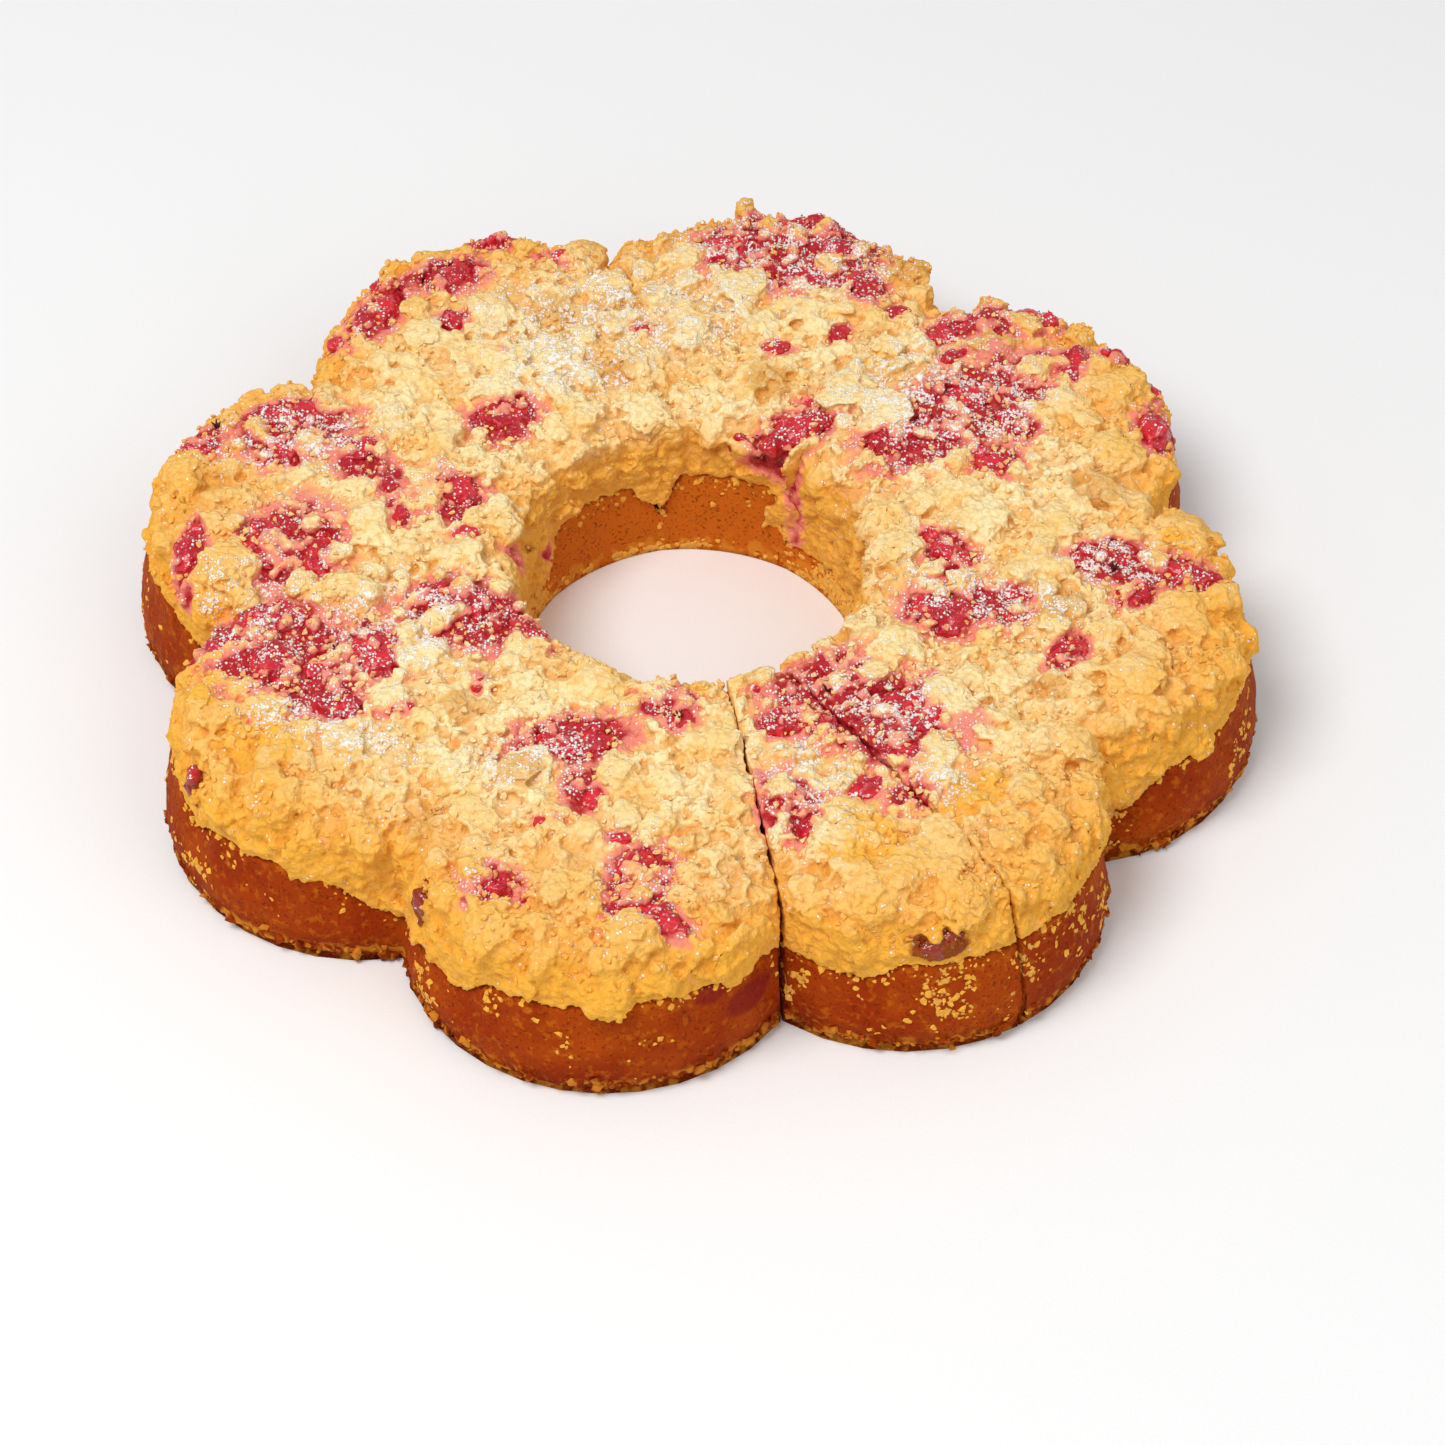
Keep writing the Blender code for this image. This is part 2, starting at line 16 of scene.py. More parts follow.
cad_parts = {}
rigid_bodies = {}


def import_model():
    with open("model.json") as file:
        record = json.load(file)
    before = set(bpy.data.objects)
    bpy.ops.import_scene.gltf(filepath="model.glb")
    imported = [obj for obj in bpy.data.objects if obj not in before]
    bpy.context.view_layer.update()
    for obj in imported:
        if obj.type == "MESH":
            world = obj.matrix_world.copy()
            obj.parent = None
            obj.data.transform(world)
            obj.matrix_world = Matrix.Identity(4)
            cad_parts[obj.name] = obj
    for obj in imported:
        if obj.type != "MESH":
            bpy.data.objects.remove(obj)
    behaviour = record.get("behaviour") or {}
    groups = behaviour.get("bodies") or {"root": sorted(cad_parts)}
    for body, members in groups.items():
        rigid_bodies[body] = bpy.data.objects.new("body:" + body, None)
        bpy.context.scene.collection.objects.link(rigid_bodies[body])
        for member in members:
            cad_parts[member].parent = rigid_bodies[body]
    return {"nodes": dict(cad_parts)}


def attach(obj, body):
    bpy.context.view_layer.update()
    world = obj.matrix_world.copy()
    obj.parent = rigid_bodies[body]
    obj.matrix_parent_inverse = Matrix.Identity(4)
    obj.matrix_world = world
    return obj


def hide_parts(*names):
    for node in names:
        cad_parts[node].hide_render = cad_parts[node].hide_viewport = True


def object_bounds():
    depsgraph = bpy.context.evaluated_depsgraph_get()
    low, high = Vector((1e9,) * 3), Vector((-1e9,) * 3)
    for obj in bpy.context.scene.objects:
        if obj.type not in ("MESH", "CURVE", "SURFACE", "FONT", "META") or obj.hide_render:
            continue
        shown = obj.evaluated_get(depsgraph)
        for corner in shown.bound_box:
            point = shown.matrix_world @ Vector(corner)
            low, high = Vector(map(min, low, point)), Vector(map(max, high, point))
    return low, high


bl_info = {
    "name": "Redcurrant streusel ring cake",
    "version": (1, 0, 0),
    "blender": (4, 5, 0),
    "location": "3D View > Sidebar > Cake",
    "description": "Dresses the packed ring cake with crust, streusel, fruit and sugar",
    "category": "Object",
}

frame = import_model()
CAD_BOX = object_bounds()
MM = 0.001

# The petals and the two knife cuts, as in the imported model
FRONT_PETAL = -102.3
PETAL_STEP = 45.0
LEFT_CUT = -79.8
RIGHT_CUT = -55.5
RIGHT_CUT_OFFSET = 4.7
HALF_CUT_GAP = 0.15
SEAM_OVERLAP = 1.5
UNBAKED_EDGE = 2.0

# How thick a skin the box presses soft, along X, Y and Z
BOX_ROOM = (2.0, 2.0, 3.2)

# The hole's wall lies within this radius, and its petals are made this much flatter
HOLE_ZONE = 60.0
HOLE_ROUNDING = 1.4

# Heaps of crumbs slump over this height, by a rounded step
HEAP_HEIGHT = 3.5
HEAP_SLUMP = 1.5

# Coarseness of the skin under the crumbs and of the fruit's, and how deep fruit beds lie
GROUND_STEP = 2.0
FRUIT_STEP = 0.6
FILLING_DROP = 1.3
BED_DROP = 0.4
BIT_DROP = 0.3

# Shapes of crumbs, the knife's block, and how high the spots on the top reach down
CRUMB_SHAPES = 5
BLOCK = 200.0
TOP_FLOOR = 34.0
SLOPE_FLOOR = 30.0
SUGAR_REACH = 1.6
TOAST_REACH = 1.3
JUICE_REACH = 1.6
MARK_REACH = 1.3

STREUSEL_NODES = ("ring_streusel", "slice_streusel")
DOUGH_NODES = ("ring_dough", "slice_dough")
PATCHES_ON_TOP = range(1, 51)

# Petals of the ring from the front one on, towards +Y
SECTORS = (
    "a_front", "b_right_front", "c_right", "d_back_right",
    "e_back", "f_back_left", "g_left", "h_front_left",
)

# Fruit patches of each petal and of the slice, by the number in their nodes' names
FRUIT_GROUPS = {
    "f_back_left": range(1, 6),
    "g_left": range(6, 13),
    "h_front_left": (*range(13, 19), 51),
    "a_front": (*range(19, 23), 52),
    "slice": (*range(23, 26), 53),
    "b_right_front": range(26, 29),
    "c_right": range(29, 35),
    "d_back_right": range(35, 45),
    "e_back": (*range(45, 51), 54),
}

# Spots on the streusel: x, y, length, width and direction of the length
JUICE = (
    (30, 120, 48, 38, 0), (47, 106, 20, 12, -70), (28, 46, 30, 14, 33), (-52, 131, 24, 14, 20),
    (-67, 108, 24, 16, 20), (-86, 94, 30, 16, 60), (-50, 50, 20, 20, 0), (-106, 45, 34, 22, 10),
    (-131, 42, 16, 14, 100), (-102, 0, 26, 32, 0), (-84, 28, 20, 14, -40), (-64, 17, 24, 14, -10),
    (-128, -5, 20, 8, 80), (-100, -42, 48, 36, -40), (-56, -26, 40, 24, -15), (-118, -32, 20, 24, 60),
    (-30, -70, 32, 18, 20), (-26, -87, 18, 10, 80), (-12, -118, 30, 16, 70), (-48, -117, 16, 12, 0),
    (-6, -57, 18, 10, 0), (42, -58, 54, 32, -30), (24, -92, 24, 16, -70), (55, -87, 20, 10, 50),
    (66, -3, 24, 14, -60), (72, -21, 26, 16, -30), (117, -9, 38, 14, -8), (94, -40, 16, 10, 60),
    (83, 90, 40, 18, 10), (103, 71, 14, 12, 0), (126, 49, 18, 12, 80), (120, 80, 10, 8, 0),
    (72, 52, 62, 28, 40), (80, 32, 16, 14, 0),
)
TOAST = (
    (106, 21, 19, 18, 0), (21, 61, 16, 14, 0), (60, 112, 20, 18, 20), (82, 76, 14, 12, 0),
    (-21, 67, 14, 12, 0), (-65, -95, 16, 10, 90), (-41, -83, 14, 13, 0), (93, -25, 16, 12, 30),
    (-20, 96, 26, 9, 15), (-56, -60, 14, 10, 0), (-125, 22, 12, 12, 0), (64, 36, 12, 9, 0),
    (88, -54, 12, 9, 0), (-38, 92, 18, 12, 0),
)
YOLK = (
    (116, 72, 26, 14, -60), (-104, -72, 26, 16, -20), (-120, -55, 14, 12, 0), (0, -52, 12, 7, 0),
    (-86, 92, 16, 8, 60), (-70, 105, 14, 8, 30), (58, -66, 20, 9, -50), (125, 0, 14, 10, 80),
    (40, -104, 26, 18, 20), (70, -88, 18, 12, 40), (60, -98, 14, 9, 40),
)
SUGAR = (
    (-18, 91, 66, 33, 0), (-33, 69, 30, 20, 0), (27, 118, 56, 40, 0), (-70, -30, 40, 30, -20),
    (75, 50, 46, 24, 30), (75, -20, 44, 16, -20), (110, -8, 30, 14, 0), (28, -80, 34, 16, -60),
    (48, -60, 30, 20, -20), (-105, 40, 40, 24, 0), (-90, -66, 40, 14, -25), (58, 62, 40, 26, 40),
    (-110, -25, 26, 34, 60), (-70, -30, 30, 16, 20), (-40, -78, 26, 16, 20), (60, -84, 16, 9, -50),
)

# Small fruit that lies between the patches, with the same five numbers
FRUIT_BITS = (
    (-84.5, 107, 9, 7, 0), (-96, 84, 8, 6, 0), (-54.5, 75, 12, 6, -30), (-37, 117, 12, 8, 0),
    (-13, 85, 7, 4, 0), (-89.5, 36, 16, 9, 10), (-124.5, 51, 6, 5, 0), (-80, 21, 8, 6, 0),
    (-76.5, 12, 12, 6, -60), (-58, 3.6, 8, 5, 0), (-116.5, -36, 14, 12, 90), (-93, -45.6, 8, 8, 0),
    (-52.7, -51.4, 6, 5, 0), (-71.8, -61, 8, 5, 30), (-24.8, -86.6, 14, 8, -80),
    (-34.4, -97.6, 7, 4, 0), (-2.8, -62.4, 9, 6, 20), (-5, -49.9, 6, 5, 0), (-51.2, -113.8, 10, 6, 0),
    (-17.5, -102.8, 7, 4, 0), (17.7, -48.8, 8, 5, 0), (42, -85.5, 13, 7, 25), (29.4, -98.4, 9, 8, 0),
    (54.5, -97.5, 5, 4, 0), (28.7, -83, 8, 5, 0), (82.2, -17.7, 11, 5, -30), (82.2, -25.8, 8, 6, 0),
    (124, 65, 11, 5, -60), (69.8, 43.2, 10, 7, 0), (99, 57.8, 8, 4, 0), (71.2, 74.7, 9, 5, 20),
    (22.8, 128.2, 14, 8, 10), (14, 113.6, 16, 8, 0), (22.8, 76.9, 10, 5, 0), (33.8, 55.6, 13, 7, 30),
    (56.6, 93, 9, 8, 0), (40.4, 82, 8, 6, 60),
)

# Dried flower ends of the berries: x, y
CALYXES = (
    (-54, 127), (-60, 126), (-68.6, 109), (-130.4, 43), (-126, 47), (-129.5, 0),
    (-88.6, -39), (-37.5, -34.5), (-3, -62), (-5, -50), (-16, -124), (126, 47),
    (80, 33.6), (116, 77.5), (-96, -44), (34, -52), (108, -10),
)

# Spots on the outer crust: direction, height, length and tallness
STUCK_CRUMBS = (
    (-65.0, 19, 12, 16), (-57.0, 20, 8, 18), (-50.0, 22, 12, 16), (-44.0, 14, 8, 12), (-17.0, 15, 9, 8),
    (-34.0, 16, 8, 16), (-79.0, 18, 6, 14), (-118.0, 10, 8, 10), (-4.0, 24, 10, 10), (-146.0, 12, 8, 12),
)
CRUST_JUICE = ((-84.0, 19, 11, 8), (-88.0, 26, 8, 5), (-160.0, 20, 6, 8))

# Fruit baked brown where it came out of the streusel's wall
WALL_FRUIT = ((-65.5, 34, 16, 7), (-148.0, 31, 4, 10), (-119.5, 30, 3, 9))

# The same on the hole's wall
HOLE_JUICE = ((52.0, 22, 6, 26), (62.0, 35, 15, 9), (148.0, 18, 4, 9), (176.0, 34, 9, 12))
HOLE_PALE = ((28.0, 10, 28, 34), (157.0, 10, 20, 34), (99.0, 22, 5, 12))


def linear(code):
    """Linear colour of an sRGB hex value."""
    parts = [int(code[i:i + 2], 16) / 255.0 for i in (0, 2, 4)]
    return [p / 12.92 if p <= 0.04045 else ((p + 0.055) / 1.055) ** 2.4 for p in parts] + [1.0]


def swatch(name, code):
    """A colour that a user may change."""
    return bpy.props.FloatVectorProperty(
        name=name, description=f"Colour of the {name.lower()}", subtype="COLOR", size=4,
        min=0.0, max=1.0, default=linear(code))


def length(name, description, value):
    """A size in metres that a user may change."""
    return bpy.props.FloatProperty(name=name, description=description, default=value * MM, unit="LENGTH")


class CakeSizes(bpy.types.PropertyGroup):
    """Sizes of the crumbs and of the fruit."""

    crumb_spacing: length("Crumb spacing", "Least distance between small crumbs", 2.1)
    crumb_size: length("Crumb size", "Largest of the small crumbs", 4.2)
    lump_spacing: length("Lump spacing", "Least distance between lumps", 6.5)
    lump_size: length("Lump size", "Largest of the strewn lumps", 10.0)
    clump_spacing: length("Clump spacing", "Least distance between clumps", 13.0)
    clump_size: length("Clump size", "Largest of the strewn clumps", 17.0)
    loose_spacing: length("Loose spacing", "Least distance between loose crumbs", 1.9)
    loose_size: length("Loose size", "Largest of the loose crumbs", 2.2)
    voxel: length("Streusel detail", "Finest step of the streusel", 0.65)
    granule: length("Granules", "Width of the granules on each crumb", 2.4)
    grain: length("Sandy grain", "Width of the finest grain", 1.1)
    berry_size: length("Berry size", "A collapsed redcurrant", 7.0)


class CakeColours(bpy.types.PropertyGroup):
    """Colours of the finishes."""

    streusel: swatch("Streusel", "FFEAB4")
    streusel_deep: swatch("Deep streusel", "FCD284")
    streusel_wall: swatch("Streusel on the wall", "F6B23A")
    # Painted highlight: the pale laid on raised crumbs
    crumb_highlight: swatch("Painted highlight on crumb tops", "FFF6D4")
    # Painted shade: the orange laid into crevices and gaps between crumbs
    crevice_shade: swatch("Painted shade in crevices", "DE9632")
    toasted: swatch("Toasted lumps", "DC9C40")
    yolk: swatch("Yolk-yellow dough", "FBB83A")
    soaked: swatch("Dough under the juice", "FFB266")
    baked_fruit: swatch("Baked fruit", "842A06")
    crust: swatch("Crust", "962E02")
    crust_light: swatch("Light crust", "C0560A")
    crust_dark: swatch("Dark crust", "642304")
    hole_crust: swatch("Crust in the hole", "D4701A")
    golden_crust: swatch("Golden crust", "C86C0C")
    torn_crust: swatch("Torn crust at the foot", "D88A2A")
    crust_juice: swatch("Juice on the crust", "7E1418")
    crust_dust: swatch("Fine crumbs on the crust", "EDB656")
    fruit: swatch("Fruit", "B60E22")
    fruit_light: swatch("Light fruit", "DA2434")
    # Deep juice, and painted shade in the hollows of the fruit's folds
    fruit_dark_and_shade: swatch("Dark fruit and painted shade", "60040C")
    juice: swatch("Juice stains", "EE7C80")
    calyx: swatch("Dried flower ends", "461608")
    calyx_light: swatch("Light flower ends", "6A2A12")
    sugar: swatch("Icing sugar", "FFFCF8")
    floor: swatch("Floor", "F4F4F4")
    floor_fibre: swatch("Floor fibre", "F2F2F2")


def deselect():
    """Nothing selected and nothing active."""
    bpy.ops.object.select_all(action="DESELECT")
    bpy.context.view_layer.objects.active = None


def choose(piece):
    """Select one object and make it the active one."""
    deselect()
    piece.select_set(True)
    bpy.context.view_layer.objects.active = piece


def join(parts):
    """Join objects into the first of them."""
    choose(parts[0])
    for part in parts:
        part.select_set(True)
    bpy.ops.object.join()
    return parts[0]


def twin(piece, name):
    """A copy of an object with a mesh of its own."""
    other = piece.copy()
    other.data = piece.data.copy()
    other.name = name
    bpy.context.scene.collection.objects.link(other)
    return other


def copied(nodes, name):
    """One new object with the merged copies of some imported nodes."""
    parts = []
    for node in nodes:
        mesh = frame["nodes"][node].data.copy()
        mesh.materials.clear()
        parts.append(bpy.data.objects.new(name, mesh))
        bpy.context.scene.collection.objects.link(parts[-1])
    piece = join(parts)
    bpy.ops.object.mode_set(mode="EDIT")
    bpy.ops.mesh.select_all(action="SELECT")
    bpy.ops.mesh.remove_doubles(threshold=1e-6)
    bpy.ops.mesh.normals_make_consistent(inside=False)
    bpy.ops.object.mode_set(mode="OBJECT")
    piece.name = name
    piece.data.name = name
    return piece


def trim(piece, direction, offset, side, spare):
    """Cut a piece at an upright plane and keep one side of it.

    The plane holds a direction from the ring's middle and passes it at an offset. Side is
    1 to keep what lies anticlockwise of it, and spare moves the cut away from what is kept."""
    turn = math.radians(direction)
    across = Vector((-math.sin(turn), math.cos(turn), 0.0))
    choose(piece)
    bpy.ops.object.mode_set(mode="EDIT")
    bpy.ops.mesh.select_all(action="SELECT")
    bpy.ops.mesh.bisect(
        plane_co=across * (-offset - side * spare) * MM, plane_no=across * side,
        use_fill=True, clear_inner=True)
    bpy.ops.mesh.select_all(action="SELECT")
    bpy.ops.mesh.quads_convert_to_tris()
    bpy.ops.object.mode_set(mode="OBJECT")


def knife(piece, direction, offset, side, spare):
    """Cut a baked piece at such a plane with a solid block, so that it stays closed."""
    turn = math.radians(direction)
    across = Vector((-math.sin(turn), math.cos(turn), 0.0))
    deselect()
    bpy.ops.mesh.primitive_cube_add(
        size=2.0 * BLOCK * MM, location=across * (-offset - side * (spare + BLOCK)) * MM,
        rotation=(0.0, 0.0, turn))
    block = bpy.context.active_object
    cut = piece.modifiers.new("cut", "BOOLEAN")
    cut.operation = "DIFFERENCE"
    cut.solver = "MANIFOLD"
    cut.object = block
    apply_all(piece)
    bpy.data.objects.remove(block, do_unlink=True)


def apply_all(piece):
    """Apply every modifier of a piece, first to last."""
    choose(piece)
    for modifier in list(piece.modifiers):
        bpy.ops.object.modifier_apply(modifier=modifier.name)


def points_of(piece):
    """Places of a mesh's points in millimetres."""
    places = np.empty(len(piece.data.vertices) * 3)
    piece.data.vertices.foreach_get("co", places)
    return places.reshape(-1, 3) / MM


def set_points(piece, places):
    """Move a mesh's points to new places in millimetres."""
    piece.data.vertices.foreach_set("co", (places * MM).ravel())
    piece.data.update()


def normals_of(piece):
    """Directions in which a mesh's points face."""
    facing = np.empty(len(piece.data.vertices) * 3)
    piece.data.vertices.foreach_get("normal", facing)
    return facing.reshape(-1, 3)


def store(piece, name, values):
    """Keep one number for each point of a mesh."""
    attribute = piece.data.attributes.get(name) or piece.data.attributes.new(name, "FLOAT", "POINT")
    attribute.data.foreach_set("value", np.asarray(values, np.float32))


def store_same(piece, **values):
    """Keep numbers that are the same for every point of a mesh."""
    for name, value in values.items():
        store(piece, name, np.full(len(piece.data.vertices), value))


def keep_in_box(piece):
    """Press a piece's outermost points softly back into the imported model's box."""
    places = points_of(piece)
    for axis, room in enumerate(BOX_ROOM):
        for end, way in ((CAD_BOX[1][axis], 1.0), (CAD_BOX[0][axis], -1.0)):
            if axis == 2 and way < 0.0:
                continue
            over = np.maximum(way * (places[:, axis] - end / MM) + room, 0.0)
            places[:, axis] += way * (room * (1.0 - np.exp(-over / room)) - over)
    low, high = (np.array(corner) / MM for corner in CAD_BOX)
    set_points(piece, np.clip(places, low + 0.01, high - 0.01))


def rounded_hole(piece):
    """Make the hole rounder: the middle of each petal's inner wall moves away from the middle."""
    places = points_of(piece)
    radius = np.hypot(places[:, 0], places[:, 1])
    angles = np.degrees(np.arctan2(places[:, 1], places[:, 0])) - FRONT_PETAL
    aside = (angles + PETAL_STEP / 2) % PETAL_STEP / (PETAL_STEP / 2) - 1.0
    step = HOLE_ROUNDING * (1.0 - aside ** 2) * np.clip((HOLE_ZONE - radius) / 14.0, 0.0, 1.0)
    places[:, :2] *= (1.0 + step / np.maximum(radius, 1.0))[:, None]
    set_points(piece, places)


def clouds(places, size, seed):
    """Soft noise at each place, from about -1 to 1, with features of a size."""
    shift = Vector((seed * 7.3, seed * 3.1, seed * 5.7))
    return np.array([noise.noise(Vector(place) / size + shift) for place in places])


def in_spots(along_across, sizes, reach):
    """How strongly places lie in a spot: 1 inside, falling to 0 at the reach."""
    far = np.hypot(along_across[0] / (sizes[0] / 2), along_across[1] / (sizes[1] / 2))
    return np.clip((reach - far) / (reach - 0.7), 0.0, 1.0)


def stains(places, spots, reach, floor_height):
    """How strongly each place lies in one of the spots on the top."""
    strength = np.zeros(len(places))
    for x, y, long, wide, direction in spots:
        turn = math.radians(direction)
        along = (places[:, 0] - x) * math.cos(turn) + (places[:, 1] - y) * math.sin(turn)
        across = (places[:, 1] - y) * math.cos(turn) - (places[:, 0] - x) * math.sin(turn)
        strength = np.maximum(strength, in_spots((along, across), (long, wide), reach))
    return strength * np.clip((places[:, 2] - floor_height) / 4.0, 0.0, 1.0)


def wall_stains(places, spots, reach, outer=True):
    """How strongly each place lies in one of the spots on the outer wall, or on the hole's."""
    strength = np.zeros(len(places))
    angles = np.arctan2(places[:, 1], places[:, 0])
    radius = np.hypot(places[:, 0], places[:, 1])
    for direction, height, long, tall in spots:
        along = (angles - math.radians((direction + 180.0) % 360.0 - 180.0)) * radius
        strength = np.maximum(strength, in_spots((along, places[:, 2] - height), (long, tall), reach))
    return strength * ((radius > HOLE_ZONE) == outer)


def patch_spots(numbers):
    """Middle, length, width and direction of fruit patches, measured on their nodes."""
    spots = []
    for number in numbers:
        places = points_of(frame["nodes"][f"currants_{number:02d}"])
        middle = places.mean(axis=0)
        sizes, axes = np.linalg.eigh(np.cov((places - middle)[:, :2].T))
        direction = math.degrees(math.atan2(axes[1, 1], axes[0, 1]))
        across = 2.5 * np.sqrt(2.0 * np.maximum(sizes, 1.0))
        spots.append((middle[0], middle[1], across[1], across[0], direction))
    return spots


def juice_at(places):
    """How far the fruit's juice has soaked each place."""
    near_fruit = stains(places, patch_spots(PATCHES_ON_TOP), 1.7, SLOPE_FLOOR)
    near_bits = 0.7 * stains(places, FRUIT_BITS, 1.9, SLOPE_FLOOR)
    return np.maximum.reduce([near_fruit, near_bits, 0.95 * stains(places, JUICE, 1.5, SLOPE_FLOOR)])


def displace(piece, name, kind, size, height, middle=0.5, group=""):
    """Push a piece's surface in and out by a noise with features of a size."""
    texture = bpy.data.textures.new(name, kind)
    texture.noise_scale = size * MM
    if kind == "CLOUDS":
        texture.noise_depth = 2
    push = piece.modifiers.new(name, "DISPLACE")
    push.texture = texture
    push.texture_coords = "LOCAL"
    push.strength = height * MM
    push.mid_level = middle
    push.vertex_group = group


def remesh(piece, step):
    """Fuse all bodies of a piece into one skin."""
    fuse = piece.modifiers.new("fuse", "REMESH")
    fuse.mode = "VOXEL"
    fuse.voxel_size = step
    fuse.use_smooth_shade = True


def soften(piece, rounds):
    """Take the steps out of a fused skin."""
    smooth = piece.modifiers.new("soften", "SMOOTH")
    smooth.factor = 0.5
    smooth.iterations = rounds


def add_node(tree, kind, inputs=(), **settings):
    """Add a node, set it up, and feed its sockets with values, sockets or other nodes."""
    node = tree.nodes.new(kind)
    for name, value in settings.items():
        setattr(node, name, value)
    for socket, value in dict(inputs).items():
        if isinstance(value, bpy.types.Node):
            value = next(output for output in value.outputs if output.enabled)
        if isinstance(value, bpy.types.NodeSocket):
            tree.links.new(value, node.inputs[socket])
        else:
            node.inputs[socket].default_value = value
    return node


def crumb_shapes(roundness):
    """A collection of uneven crumbs about 1 mm across, for strewing."""
    name = f"crumb_shapes_{roundness}"
    known = bpy.data.collections.get(name)
    if known:
        return known
    shapes = bpy.data.collections.new(name)
    bpy.context.scene.collection.children.link(shapes)
    for number in range(CRUMB_SHAPES):
        deselect()
        bpy.ops.mesh.primitive_ico_sphere_add(subdivisions=roundness, radius=0.5 * MM, location=(0, 0, 0))
        crumb = bpy.context.active_object
        crumb.name = f"{name}_{number}"
        bpy.ops.object.mode_set(mode="EDIT")
        bpy.ops.mesh.select_all(action="SELECT")
        bpy.ops.transform.resize(value=(1.15 - 0.06 * number, 0.8 + 0.07 * number, 0.8))
        bpy.ops.transform.vertex_random(
            offset=(0.2 if roundness == 1 else 0.12) * MM, uniform=0.9, seed=number + 1)
        bpy.ops.object.mode_set(mode="OBJECT")
        for holder in list(crumb.users_collection):
            holder.objects.unlink(crumb)
        shapes.objects.link(crumb)
        crumb.hide_render = True
    return shapes


def clear_shapes():
    """Remove the crumbs that were only there to be strewn."""
    for shapes in [group for group in bpy.data.collections if group.name.startswith("crumb_shapes")]:
        for crumb in list(shapes.objects):
            bpy.data.objects.remove(crumb, do_unlink=True)
        bpy.data.collections.remove(shapes)


def strew(base, name, cover, spacing, smallest, largest, seed, lift=0.15, roundness=2, flat=0.42):
    """Crumbs strewn over a base by a Geometry Nodes modifier, as an object of their own.

    Cover says how densely, point by point. Lift is how far out they sit, as a part of
    their size, and flat is how thin they are on upright walls, pressed by the tin."""
    piece = twin(base, name)
    store(piece, "cover", cover)
    tree = bpy.data.node_groups.new(name, "GeometryNodeTree")
    tree.interface.new_socket("Geometry", in_out="INPUT", socket_type="NodeSocketGeometry")
    tree.interface.new_socket("Geometry", in_out="OUTPUT", socket_type="NodeSocketGeometry")
    start = add_node(tree, "NodeGroupInput")
    density = add_node(tree, "GeometryNodeInputNamedAttribute", {"Name": "cover"}, data_type="FLOAT")
    strewn = add_node(tree, "GeometryNodeDistributePointsOnFaces", {
        "Mesh": start, "Distance Min": spacing, "Density Max": 1.3 / spacing ** 2,
        "Density Factor": density, "Seed": seed}, distribute_method="POISSON")
    normal = strewn.outputs["Normal"]
    rise = add_node(tree, "ShaderNodeSeparateXYZ", {0: normal}).outputs["Z"]
    pressed = add_node(tree, "ShaderNodeMapRange", {
        "Value": rise, "From Min": 0.15, "From Max": 0.7, "To Min": flat, "To Max": 0.95})
    chance = add_node(tree, "FunctionNodeRandomValue", {"Seed": seed + 1}, data_type="FLOAT")
    skewed = add_node(tree, "ShaderNodeMath", {0: chance, 1: 1.7}, operation="POWER")
    size = add_node(tree, "ShaderNodeMapRange", {
        "Value": skewed, "To Min": smallest / MM, "To Max": largest / MM})
    tall = add_node(tree, "ShaderNodeMath", {0: size, 1: pressed}, operation="MULTIPLY")
    scale = add_node(tree, "ShaderNodeCombineXYZ", {"X": size, "Y": size, "Z": tall})
    step = add_node(tree, "ShaderNodeMath", {0: tall, 1: lift * MM}, operation="MULTIPLY")
    out = add_node(tree, "ShaderNodeVectorMath", {0: normal, "Scale": step}, operation="SCALE")
    placed = add_node(tree, "GeometryNodeSetPosition", {"Geometry": strewn, "Offset": out})
    spin = add_node(tree, "FunctionNodeRandomValue", {
        "Min": (-0.4, -0.4, 0.0), "Max": (0.4, 0.4, 2.0 * math.pi), "Seed": seed + 2},
        data_type="FLOAT_VECTOR")
    tilt = add_node(tree, "FunctionNodeEulerToRotation", {"Euler": spin})
    turned = add_node(tree, "FunctionNodeRotateRotation", {
        "Rotation": strewn.outputs["Rotation"], "Rotate By": tilt}, rotation_space="LOCAL")
    shapes = add_node(tree, "GeometryNodeCollectionInfo", {
        "Collection": crumb_shapes(roundness), "Separate Children": True, "Reset Children": True})
    choice = add_node(tree, "FunctionNodeRandomValue", {
        4: 0, 5: CRUMB_SHAPES - 1, "Seed": seed + 3}, data_type="INT")
    laid = add_node(tree, "GeometryNodeInstanceOnPoints", {
        "Points": placed, "Instance": shapes, "Pick Instance": True,
        "Instance Index": choice, "Rotation": turned, "Scale": scale})
    real = add_node(tree, "GeometryNodeRealizeInstances", {"Geometry": laid})
    add_node(tree, "NodeGroupOutput", {0: real})
    piece.modifiers.new("strew", "NODES").node_group = tree
    apply_all(piece)
    return piece


def fruit_nodes(numbers):
    """Names of the nodes of some fruit patches."""
    return [f"currants_{number:02d}" for number in numbers]


def fruit_bed(name, numbers, drop):
    """Copies of fruit patches, a little swollen and lowered by a drop."""
    bed = copied(fruit_nodes(numbers), name)
    swell = bed.modifiers.new("swell", "DISPLACE")
    swell.strength = 0.5 * MM
    swell.mid_level = 0.0
    apply_all(bed)
    set_points(bed, points_of(bed) - np.array((0.0, 0.0, drop)))
    return bed


def relief_of(piece, rounds):
    """How far each point stands out of the softened shape, in millimetres."""
    soft = twin(piece, "soft")
    soften(soft, rounds)
    apply_all(soft)
    out = ((points_of(piece) - points_of(soft)) * normals_of(piece)).sum(axis=1)
    bpy.data.objects.remove(soft, do_unlink=True)
    return out


